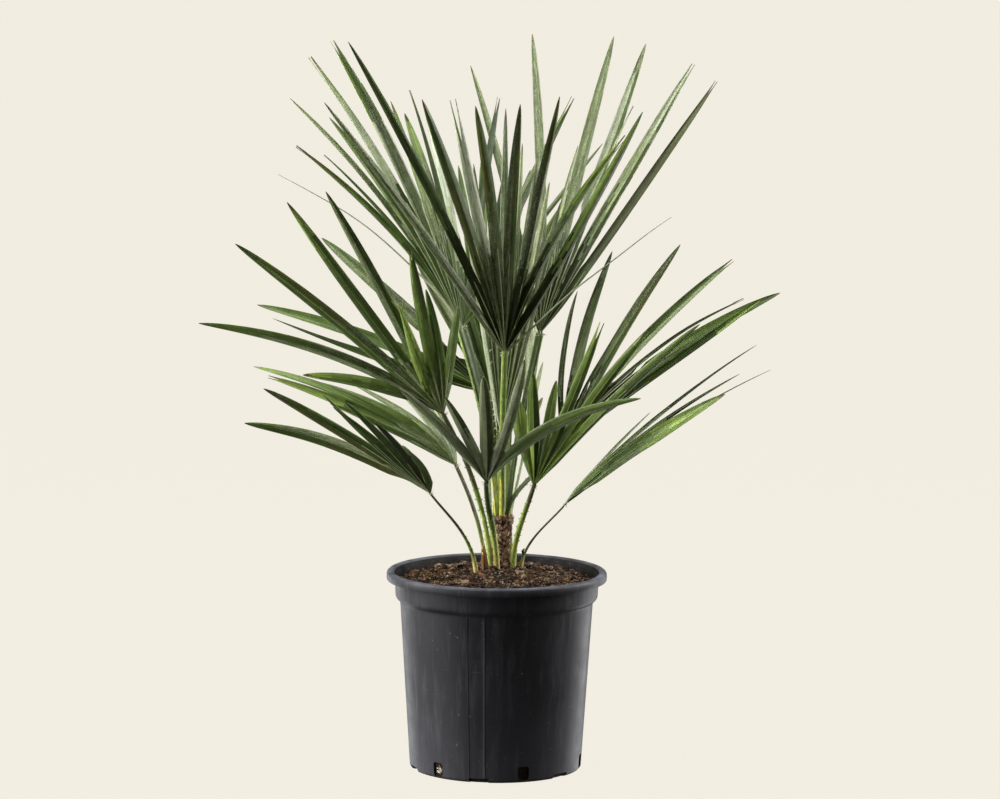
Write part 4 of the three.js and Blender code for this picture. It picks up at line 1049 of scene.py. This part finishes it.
# ---------------------------------------------------------------- the stem: fibrous leaf bases round a short trunk
STEM_TOP = 320.0
STEM_PROFILE = np.array([[0, 10.4], [0.12, 9], [0.3, 8.2], [0.62, 9.8], [0.9, 12], [1, 11.4]])
stem_foot = soil_height(6, 12) + GAP
pile = Pile()
rows, m = 46, 64
z = np.linspace(stem_foot - 3, STEM_TOP, rows)
share = np.clip((z - stem_foot) / (STEM_TOP - stem_foot), 0, 1)
rad = np.interp(share, STEM_PROFILE[:, 0], STEM_PROFILE[:, 1])
u = 2 * np.pi * np.arange(m) / m
rough = 0.9 * fractal(u[None] * 2.6 + 10, z[:, None] / 5.0, 5) + 0.5 * value_noise(u[None] * 9, z[:, None] / 1.6, 9)
rr = rad[:, None] * 1.0 + rough
ring = np.stack([6 + np.cos(u)[None] * rr, 24 + np.sin(u)[None] * rr, np.repeat(z[:, None], m, 1)], -1)
s = pile.points(ring)
shade = value_noise(u[None, :] * 3 + 4, z[:-1, None] / 4.5, 31)
bark = pile.slots([LEAF_MATS[x] for x in ("bark_d", "bark_b", "bark_a", "bark_c")])
pile.quads(grid_faces(rows, m, s, wrap=True), bark[np.clip(((shade + 1) * 2).astype(int), 0, 3)].ravel())
c = pile.points([[6, 24, STEM_TOP + 0.5]])
e = s + (rows - 1) * m
pile.tris([[e + j, e + (j + 1) % m, c] for j in range(m)], bark[1])
g = np.random.default_rng(5)
# overlapping torn leaf bases
for j in range(460):
    h = g.uniform(0, 0.97)
    a = g.uniform(0, 2 * np.pi)
    zc = stem_foot + h * (STEM_TOP - stem_foot)
    r0 = np.interp(h, STEM_PROFILE[:, 0], STEM_PROFILE[:, 1])
    wide, tall = g.uniform(1.0, 2.6), g.uniform(2.4, 6.0)
    k, mm = 5, 5
    v = np.linspace(0, 1, k)
    x = np.linspace(-1, 1, mm)
    ww = wide * np.array([1.0, 0.95, 0.8, 0.5, 0.08])
    ang = a + (x[None] * ww[:, None]) / r0 + 0.05 * g.normal(size=(k, mm))
    lift = r0 * 1.02 + 0.4 + v[:, None] * g.uniform(0.8, 3.6) + 0.25 * g.normal(size=(k, mm))
    zz = zc + v[:, None] * tall + 0.5 * g.normal(size=(k, mm))
    zz = np.minimum(zz, STEM_TOP + 2)
    pa = np.stack([6 + np.cos(ang) * lift, 24 + np.sin(ang) * lift, zz + 0 * ang], -1)
    nrm = unit(np.stack([np.cos(ang), np.sin(ang), 0 * ang], -1))
    tone_name = ["bark_a", "bark_a+", "bark_b", "bark_c", "bark_c", "bark_c-"][int(g.integers(6))]
    mt = pile.slots([LEAF_MATS[tone_name]] * (mm - 1))
    shell(pile, (pa + nrm * 0.25)[:, ::-1], (pa - nrm * 0.25)[:, ::-1], mt, mt, int(mt[0]))
pile.build("stem_bark", sharp=50, slot="stem_fibre", replaces=["stem"])

pile = Pile()
lines = []
for j in range(420):
    h = g.uniform(0.02, 1.0)
    a = g.uniform(0, 2 * np.pi)
    zc = stem_foot + h * (STEM_TOP - stem_foot)
    r0 = np.interp(h, STEM_PROFILE[:, 0], STEM_PROFILE[:, 1]) + g.uniform(0.2, 1.4)
    da, dz = g.uniform(-0.5, 0.5), g.uniform(2, 12)
    q = [np.array([6 + math.cos(a + da * v) * (r0 + 1.2 * v * g.uniform(0, 1)), 24 + math.sin(a + da * v) * (r0 + 1.2 * v * g.uniform(0, 1)), min(zc + dz * v, STEM_TOP + 6)]) for v in (0, 0.5, 1)]
    lines.append(q)
lines = np.array(lines)
mt = pile.slots([LEAF_MATS["fibre"], LEAF_MATS["fibre-"], LEAF_MATS["bark_c"]])
pick = mt[g.integers(0, 3, len(lines))]
for mat in mt:
    tubes(pile, lines[pick == mat], np.array([0.22, 0.2, 0.08])[None], int(mat), sides=3)
pile.build("stem_fibres", slot="stem_fibre")


# ---------------------------------------------------------------- the pot
POT_HEIGHT, BASE_RADIUS, BODY_TOP_RADIUS, BODY_TOP = 253.0, 109.0, 122.6, 215.0
COLLAR_RADIUS, COLLAR_BOTTOM, LIP_RADIUS, RIM_MOUTH_RADIUS, WALL = 128.6, 219.0, 140.0, 131.0, 2.2
HOLE_FIRST = 18.9 - 90
HOLES = [HOLE_FIRST + 60 * i for i in range(6)]
NOTCHES = [HOLE_FIRST + 60 * (i + 0.5) for i in range(6)]
SEAMS = [-90 - 17.35, -90 - 6.9]


def body_radius(z):
    return BASE_RADIUS + (BODY_TOP_RADIUS - BASE_RADIUS) * z / BODY_TOP


def pot_inside_look():
    k = Look("pot_inside", 0.75, 0.05)
    big, fine = k.noise(30.0, 4.0, 0.65), k.noise(220.0, 3.0, 0.65)
    c = k.mix(k.ramp(big, [(0.35, grey(0)), (0.7, grey(1))]), srgb(28, 28, 31), srgb(56, 54, 55))
    c = k.mix(k.ramp(fine, [(0.55, grey(0)), (0.75, grey(0.7))]), c, srgb(88, 78, 68))
    k.colour(c)
    k.bump(fine, 0.2, 0.0005)
    return k.mat


def pot_look():
    k = Look("pot_plastic", 0.4, 0.16)
    big = k.noise(14.0, 3.0, 0.55)
    fine = k.noise(420.0, 3.0, 0.6)
    scuff = k.noise(60.0, 4.0, 0.65, stretch=(1.6, 1.6, 0.16))
    scratch = k.noise(150.0, 2.0, 0.6, stretch=(0.25, 0.25, 3.0), distortion=0.6)
    specks = k.noise(260.0, 2.0, 0.5)
    base = k.mix(k.ramp(big, [(0.3, grey(0)), (0.75, grey(1))]), srgb(34, 32, 35), srgb(45, 44, 49))
    # a pale layer, thicker towards the foot, where it is a painted reflection of the bright floor, and a little again
    # towards the lip, partly dust and partly painted reflection
    height = k.node("ShaderNodeSeparateXYZ")
    k.link(k.coord.outputs["Object"], height.inputs[0])
    floor_reflection_and_dust = k.ramp(height.outputs["Z"], [(0.0, grey(0.42)), (0.04, grey(0.26)), (0.1, grey(0.05)), (0.2, grey(0.0)), (0.225, grey(0.05)), (0.25, grey(0.12))])
    base = k.mix(floor_reflection_and_dust, base, srgb(72, 73, 80))
    # painted highlight: the top of the lip is made pale bluish-white, in patches
    top = k.ramp(height.outputs["Z"], [(0.0, grey(0.0)), (0.2498, grey(0.0)), (0.2516, grey(0.9))])
    lip_highlight_patches = k.ramp(k.noise(22.0, 3.0, 0.6), [(0.35, grey(0.12)), (0.65, grey(0.9))])
    base = k.mix(k.mix(1.0, top, lip_highlight_patches, "MULTIPLY"), base, srgb(146, 152, 166))
    dusty = k.mix(k.ramp(scuff, [(0.5, grey(0)), (0.78, grey(0.5))]), base, srgb(80, 80, 86))
    dusty = k.mix(k.ramp(scratch, [(0.68, grey(0)), (0.8, grey(0.3))]), dusty, srgb(112, 112, 112))
    dusty = k.mix(k.ramp(specks, [(0.72, grey(0)), (0.78, grey(0.45))]), dusty, srgb(132, 128, 120))
    k.colour(dusty)
    k.roughness(k.noise(35.0, 3.0, 0.6), 0.36, 0.5)
    k.bump(fine, 0.12, 0.0004)
    return k.mat


def build_pot():
    cols = set(np.round(np.arange(0, 360, 1.5), 4))
    special = []
    for a in HOLES:
        d = math.degrees(7.5 / BASE_RADIUS)
        special += [a - d, a + d, a - d * 0.8, a + d * 0.8]
    for a in NOTCHES:
        d = math.degrees(12.5 / BASE_RADIUS)
        special += [a - d, a + d]
    for a in SEAMS:
        special += [a - 0.42, a - 0.16, a + 0.16, a + 0.42]
    special = sorted({round(x % 360, 4) for x in special})
    cols = sorted([c for c in cols if min(min(abs(c - s), 360 - abs(c - s)) for s in special) > 0.35] + special)
    az = np.array(cols)
    # paired outer and inner points from the middle of the floor up to the collar
    pairs = [((0.01, 2.0), (0.01, 5.0)), ((60, 2.0), (60, 5.0)), ((90, 2.0), (90, 5.0)), ((96, 2.0), (95, 3.0)), ((98, 0.0), (98, 3.0)), ((102, 0.0), (102, 3.0)), ((104.5, 0.0), (104, 3.0)), ((107.3, 0.9), (105.6, 3.05)), ((108.7, 2.4), (106.6, 3.12))]
    for z in (3.2, 5, 6, 7.5, 12, 17, 19.5, 21, 24, 30, 40, 60, 85, 110, 135, 160, 180, 195, 207, 212):
        pairs.append(((body_radius(z), z), (body_radius(z) - WALL, max(z, 3.2))))
    pairs += [((BODY_TOP_RADIUS + 0.1, 214.2), (BODY_TOP_RADIUS - WALL + 0.1, 214.4)), ((BODY_TOP_RADIUS + 1.0, 215.8), (BODY_TOP_RADIUS - WALL + 0.9, 216)), ((BODY_TOP_RADIUS + 3.6, 217.6), (BODY_TOP_RADIUS - WALL + 3.4, 218.2)), ((COLLAR_RADIUS - 1.2, 219), (COLLAR_RADIUS - WALL - 0.9, 220.2)), ((COLLAR_RADIUS - 0.2, 221), (COLLAR_RADIUS - WALL, 222.4)), ((COLLAR_RADIUS + 0.1, 224), (COLLAR_RADIUS - WALL, 225)), ((COLLAR_RADIUS + 0.4, 232), (COLLAR_RADIUS - WALL, 232)), ((COLLAR_RADIUS + 0.6, 240), (COLLAR_RADIUS - WALL, 240)), ((COLLAR_RADIUS + 0.7, 247), (COLLAR_RADIUS - WALL + 0.4, 247))]
    outer_lip = [(COLLAR_RADIUS + 1.2, 249.2), (COLLAR_RADIUS + 3.0, 249.7), (LIP_RADIUS - 3.4, 249.6), (LIP_RADIUS - 2.6, 248.6), (LIP_RADIUS - 2.4, 243.0), (LIP_RADIUS - 1.8, 242.1), (LIP_RADIUS - 0.8, 242.1), (LIP_RADIUS - 0.2, 243.0), (LIP_RADIUS, 246.0), (LIP_RADIUS - 0.1, 249.6), (LIP_RADIUS - 0.8, 251.4), (LIP_RADIUS - 2.2, 252.6), (LIP_RADIUS - 4.4, 253.0), (RIM_MOUTH_RADIUS + 1.6, 252.9), (RIM_MOUTH_RADIUS + 0.2, 252.3), (RIM_MOUTH_RADIUS - 0.9, 251.0), (RIM_MOUTH_RADIUS - 2.2, 249.2)]
    pile = Pile()
    mat, inside = pile.slot(pot_look()), pile.slot(pot_inside_look())
    ca, sa = np.cos(np.radians(az)), np.sin(np.radians(az))
    m = len(az)

    def ring(r, z):
        r = np.broadcast_to(r, (m,))
        return np.stack([r * ca, r * sa, np.full(m, z)], -1)

    def seam_offset(z):
        off = np.zeros(m)
        if 6 < z < 213:
            for s in SEAMS:
                d = np.abs((az - s + 180) % 360 - 180)
                off[d < 0.25] = 0.42
        return off

    outer = np.stack([ring(r + seam_offset(z), z) for (r, z), _ in pairs])
    inner = np.stack([ring(r, z) for _, (r, z) in pairs])
    k = len(pairs)
    so, si = pile.points(outer), pile.points(inner)
    mid_az = np.degrees(np.arctan2(np.roll(sa, -1) + sa, np.roll(ca, -1) + ca))
    gone = np.zeros((k - 1, m), bool)
    for row in range(k - 1):
        (r0, z0), (r1, z1) = pairs[row][0], pairs[row + 1][0]
        zc, rc = (z0 + z1) / 2, (r0 + r1) / 2
        for a in HOLES:
            d = np.abs((mid_az - a + 180) % 360 - 180) * math.pi / 180 * BASE_RADIUS
            if 3.2 < zc < 21:
                corner = 6.0 if (zc < 5 or zc > 19.5) else 7.5
                gone[row] |= d < corner
        for a in NOTCHES:
            d = np.abs((mid_az - a + 180) % 360 - 180) * math.pi / 180 * BASE_RADIUS
            if zc < 6 and rc > 102:
                gone[row] |= d < 12.5
    idx = np.arange((k - 1) * m).reshape(k - 1, m)
    keep = ~gone.ravel()
    pile.quads(grid_faces(k, m, so, wrap=True)[keep], mat)
    pile.quads(grid_faces(k, m, si, wrap=True)[keep][:, ::-1], inside)
    # walls round the holes and notches
    walls = []
    P = lambda base, row, col: base + row * m + col % m
    for row in range(k - 1):
        for col in np.nonzero(gone[row])[0]:
            if not gone[row][(col - 1) % m]:
                walls.append([P(so, row, col), P(si, row, col), P(si, row + 1, col), P(so, row + 1, col)])
            if not gone[row][(col + 1) % m]:
                walls.append([P(so, row, col + 1), P(so, row + 1, col + 1), P(si, row + 1, col + 1), P(si, row, col + 1)])
            if row == 0 or not gone[row - 1][col]:
                walls.append([P(so, row, col), P(so, row, col + 1), P(si, row, col + 1), P(si, row, col)])
            if row == k - 2 or not gone[row + 1][col]:
                walls.append([P(so, row + 1, col), P(si, row + 1, col), P(si, row + 1, col + 1), P(so, row + 1, col + 1)])
    pile.quads([w[::-1] for w in walls], mat)
    # the lip from the outside over the top to the inner wall
    lip = np.stack([outer[-1]] + [ring(r, z) for r, z in outer_lip] + [inner[-1]])
    sl = pile.points(lip)
    lip_faces = grid_faces(len(lip), m, sl, wrap=True)
    pile.quads(lip_faces, np.where(np.arange(len(lip_faces)) // m >= len(lip) - 3, inside, mat))
    o = pile.build("pot_shell", sharp=40, slot="pot_plastic", replaces=["pot"])
    # the doubled points along the lip's ends are joined again
    import bmesh

    bm = bmesh.new()
    bm.from_mesh(o.data)
    bmesh.ops.remove_doubles(bm, verts=bm.verts, dist=1e-6)
    bmesh.ops.recalc_face_normals(bm, faces=bm.faces)
    bm.to_mesh(o.data)
    bm.free()
    o.data.set_sharp_from_angle(angle=math.radians(40))
    return o


build_pot()


# ---------------------------------------------------------------- the soil
def soil_look(name, dark, light, rough=0.95):
    k = Look(name, rough, 0.25)
    a = k.noise(260.0, 4.0, 0.65)
    b = k.noise(60.0, 3.0, 0.6)
    c = k.mix(k.ramp(a, [(0.3, grey(0)), (0.72, grey(1))]), dark, light)
    c = k.mix(k.ramp(b, [(0.35, grey(0)), (0.7, grey(0.55))]), c, scaled(dark, 0.6))
    k.colour(c)
    k.bump(a, 0.8, 0.0015)
    return k.mat


SOIL_MATS = [soil_look("peat_dark", srgb(26, 19, 14), srgb(58, 43, 32)), soil_look("peat_mid", srgb(54, 40, 30), srgb(104, 80, 60)), soil_look("peat_light", srgb(104, 86, 68), srgb(168, 146, 122)), soil_look("peat_red", srgb(96, 58, 42), srgb(142, 96, 74)), soil_look("fleck_pale", srgb(190, 184, 168), srgb(232, 228, 214)), soil_look("bark_chip", srgb(84, 60, 42), srgb(146, 112, 82))]

pile = Pile()
rows, m = 90, 260
q = np.linspace(0, 1, rows)
rad = 125.6 * q**0.8
u = 2 * np.pi * np.arange(m) / m
x, y = rad[:, None] * np.cos(u)[None], rad[:, None] * np.sin(u)[None]
zz = soil_height(x, y) - 1.6 + 1.9 * fractal(x / 14 + 5, y / 14, 3, 4, 0.6) + 1.7 * np.abs(value_noise(x / 4.2, y / 4.2, 21)) - 0.5
zz = np.where(rad[:, None] > 122, zz - 0.5, zz)
mats = pile.slots(SOIL_MATS[:3])
s = pile.points(np.stack([x, y, zz], -1))
pick = value_noise(x / 7, y / 7, 61)[:-1]
pile.quads(grid_faces(rows, m, s, wrap=True)[:, ::-1], np.where(pick > 0.55, mats[1], mats[0]).ravel())
# closed below, down the inside of the pot
low = [(125.6, 226.0), (119.9, 214.6), (106.7, 8.0), (106.4, 3.4), (0.01, 3.4)]
ringz = np.stack([np.stack([r * np.cos(u), r * np.sin(u), np.full(m, z)], -1) for r, z in low])
s2 = pile.points(np.concatenate([np.stack([x[-1], y[-1], zz[-1]], -1)[None], ringz]))
pile.quads(grid_faces(6, m, s2, wrap=True)[:, ::-1], mats[0])
pile.build("potting_mix", sharp=60, slot="potting_soil", replaces=["soil"])

g = np.random.default_rng(11)


def on_soil(n, reach=124.0):
    a = g.uniform(0, 2 * np.pi, n)
    r = reach * np.sqrt(g.uniform(0, 1, n))
    px, py = r * np.cos(a), r * np.sin(a)
    return np.stack([px, py, soil_height(px, py) + 1.5 * fractal(px / 16 + 5, py / 16, 3, 4, 0.6) - 0.9], -1)


pile = Pile()
mats = pile.slots(SOIL_MATS)
n = 5200
size = np.minimum(0.95 * g.lognormal(0, 0.62, n), 4.6)
kinds = g.choice([0, 1, 2, 3, 5], n, p=[0.36, 0.34, 0.13, 0.03, 0.14])
spots = on_soil(n, 123.5)
# lighter and darker patches
patch = value_noise(spots[:, 0] / 13 + 3, spots[:, 1] / 13, 77)
kinds = np.where((patch < -0.25) & (kinds != 0) & (g.random(n) < 0.7), 0, kinds)
kinds = np.where((patch > 0.4) & (kinds == 0) & (g.random(n) < 0.6), 1, kinds)
lumps(pile, spots + np.stack([0 * size, 0 * size, size * 0.25], -1), size, mats[kinds], seed=12, rough=0.3, flat=0.75)
pile.build("soil_crumbs", sharp=30, slot="potting_soil")

# a few bigger pale bits, and pale crumbs pressed against one slot of the pot
pile = Pile()
pale, mixed = pile.slot(SOIL_MATS[4]), pile.slot(SOIL_MATS[2])
bits = np.array([(-62, -36, 0), (-60, -20, 0), (-3, -75, 0), (9, 16, 0), (13, 27, 0), (18, 28, 0), (95, 49, 0), (101, 23, 0), (114, 23, 0), (89, -7, 0), (-84, -41, 0), (-39, -72, 0)], float).reshape(-1, 3)
bits = np.stack([bits[:, 0], bits[:, 1], soil_height(bits[:, 0], bits[:, 1]) + 1.4], -1)
lumps(pile, bits, 0.72 * np.array([2.2, 1.6, 1.8, 1.5, 1.7, 1.4, 2.6, 2.4, 2.2, 2.0, 1.2, 1.2]), np.where(bits[:, 0] > 60, mixed, pale), seed=17, rough=0.35, flat=0.8)
slot_angle = math.radians(HOLES[5])
n = 16
aside, up_by = g.uniform(-3.6, 3.6, n), g.uniform(7.0, 17.0, n)
far = 106.6
crumbs = np.stack([far * math.cos(slot_angle) - aside * math.sin(slot_angle), far * math.sin(slot_angle) + aside * math.cos(slot_angle), up_by], -1)
lumps(pile, crumbs, g.uniform(1.1, 2.1, n), np.where(np.arange(n) % 5 == 4, mixed, pale), seed=18, rough=0.3)
pile.build("pale_bits", sharp=30, slot="potting_soil")

pile = Pile()
n = 240
size = g.uniform(0.35, 0.95, n)
lumps(pile, on_soil(n, 122) + np.array([0, 0, 0.9]), size, np.full(n, pile.slot(SOIL_MATS[4])), seed=13, rough=0.3, flat=0.6)
pile.build("soil_flecks", sharp=30, slot="potting_soil")

pile = Pile()
n = 900
root = on_soil(n, 122)
a = g.uniform(0, 2 * np.pi, n)
length = g.uniform(3, 13, n)
step = np.stack([np.cos(a), np.sin(a), 0 * a], -1) * (length / 2)[:, None]
mid = root + step + g.normal(size=(n, 3)) * np.array([1.4, 1.4, 0.7]) + np.array([0, 0, 1.1])
tip = root + 2 * step + g.normal(size=(n, 3)) * np.array([1.8, 1.8, 0.5]) + np.array([0, 0, 0.5])
tip[:, 2] = np.minimum(tip[:, 2], soil_height(tip[:, 0], tip[:, 1]) + 3)
inside = (np.hypot(tip[:, 0], tip[:, 1]) < 124) & (np.hypot(mid[:, 0], mid[:, 1]) < 124)
lines = np.stack([root + np.array([0, 0, 0.3]), mid, tip], 1)[inside]
mt = pile.slots([LEAF_MATS["fibre"], LEAF_MATS["fibre-"], SOIL_MATS[3], LEAF_MATS["bark_c"]])
pick = mt[g.choice(4, len(lines), p=[0.3, 0.35, 0.2, 0.15])]
for mat in mt:
    tubes(pile, lines[pick == mat], np.array([0.3, 0.26, 0.1])[None], int(mat), sides=3)
pile.build("soil_fibres", slot="potting_soil")


# ---------------------------------------------------------------- floor, light and camera
def glow(name, colour):
    mat = bpy.data.materials.new(name)
    mat.use_nodes = True
    nt = mat.node_tree
    nt.nodes.clear()
    out = nt.nodes.new("ShaderNodeOutputMaterial")
    p = nt.nodes.new("ShaderNodeBsdfPrincipled")
    p.inputs["Base Color"].default_value = scaled(colour, 0.008)
    p.inputs["Roughness"].default_value = 1.0
    p.inputs["Specular IOR Level"].default_value = 0.0
    p.inputs["Emission Color"].default_value = colour
    p.inputs["Emission Strength"].default_value = 0.995
    nt.links.new(p.outputs[0], out.inputs[0])
    return mat


def stage():
    """A plain pale floor, and a dome of the same colour that only the camera sees."""
    mat = glow("studio_pale", srgb(242, 237, 225))
    size = 60.0
    mesh = bpy.data.meshes.new("floor")
    mesh.from_pydata([(-size, -size, -0.0005), (size, -size, -0.0005), (size, size, -0.0005), (-size, size, -0.0005)], [], [(0, 1, 2, 3)])
    floor = bpy.data.objects.new("floor", mesh)
    u, w = np.linspace(0, 2 * np.pi, 49)[:-1], np.linspace(-0.5, np.pi / 2 - 0.02, 13)
    v = np.stack([np.cos(u)[None] * np.cos(w)[:, None], np.sin(u)[None] * np.cos(w)[:, None], np.sin(w)[:, None] + 0 * u[None]], -1).reshape(-1, 3) * 50.0
    faces = grid_faces(13, 48, wrap=True).tolist() + [[12 * 48 + j for j in range(48)]]
    dome_mesh = bpy.data.meshes.new("dome")
    dome_mesh.from_pydata(v.tolist(), [], faces)
    dome = bpy.data.objects.new("dome", dome_mesh)
    for o in (floor, dome):
        bpy.context.scene.collection.objects.link(o)
        o.data.materials.append(mat)
        o.visible_glossy = o.visible_diffuse = o.visible_transmission = o.visible_shadow = False
        o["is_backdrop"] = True


stage()

world = bpy.data.worlds.new("studio")
bpy.context.scene.world = world
world.use_nodes = True
wn = world.node_tree
wn.nodes["Background"].inputs["Color"].default_value = srgb(248, 246, 238)
wn.nodes["Background"].inputs["Strength"].default_value = 0.12


def area(name, place, target, size, watts, colour=(1, 1, 1)):
    data = bpy.data.lights.new(name, "AREA")
    data.shape = "RECTANGLE"
    data.size, data.size_y = size
    data.energy = watts
    data.color = colour
    o = bpy.data.objects.new(name, data)
    bpy.context.scene.collection.objects.link(o)
    o.visible_camera = False
    o.location = place
    o.rotation_mode = "QUATERNION"
    o.rotation_quaternion = (Vector(target) - Vector(place)).to_track_quat("-Z", "Y")
    return o


area("soft_left", (-2.0, -0.28, 1.3), (0, 0, 0.65), (1.9, 2.2), 98, (1.0, 0.98, 0.93))
area("low_left", (-2.0, -0.4, -0.35), (0, 0, 0.2), (2.2, 1.3), 18, (0.95, 0.98, 1.0))
area("edge_left", (-1.25, 1.45, -0.35), (0, 0, 0.15), (1.3, 1.3), 11, (0.96, 0.98, 1.0))
area("soft_right", (1.9, 0.45, 1.25), (0, 0, 0.6), (1.6, 1.9), 74, (1.0, 0.98, 0.94))
area("edge_right", (1.45, 1.3, -0.35), (0, 0, 0.15), (1.3, 1.3), 15, (0.97, 0.98, 1.0))
area("soft_top", (-0.3, -0.3, 2.6), (0, 0, 0.6), (1.4, 1.2), 39)

CAMERA_PLACE = (0.0, -5.997, 1.283)
PITCH, ROLL, YAW = math.radians(7.70), math.radians(0.45), math.atan(1.9 / 4785)
forward = Vector((math.sin(YAW) * math.cos(PITCH), math.cos(YAW) * math.cos(PITCH), -math.sin(PITCH)))
right = forward.cross(Vector((0, 0, 1))).normalized()
up = right.cross(forward)
image_right = math.cos(ROLL) * right + math.sin(ROLL) * up
image_up = -math.sin(ROLL) * right + math.cos(ROLL) * up
cam_data = bpy.data.cameras.new("camera")
cam_data.sensor_fit = "HORIZONTAL"
cam_data.sensor_width = 36.0
cam_data.lens = 4785 * 36 / 1000
cam_data.clip_start, cam_data.clip_end = 0.1, 200
camera = bpy.data.objects.new("camera", cam_data)
bpy.context.scene.collection.objects.link(camera)
camera.matrix_world = Matrix((image_right, image_up, -forward)).transposed().to_4x4()
camera.location = CAMERA_PLACE
bpy.context.scene.camera = camera

bpy.context.scene.view_settings.view_transform = "Standard"
bpy.context.scene.view_settings.look = "None"
bpy.context.scene.view_settings.exposure = 0.0
bpy.context.scene.view_settings.gamma = 1.0

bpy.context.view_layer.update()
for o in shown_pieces():
    o.data.calc_loop_triangles()
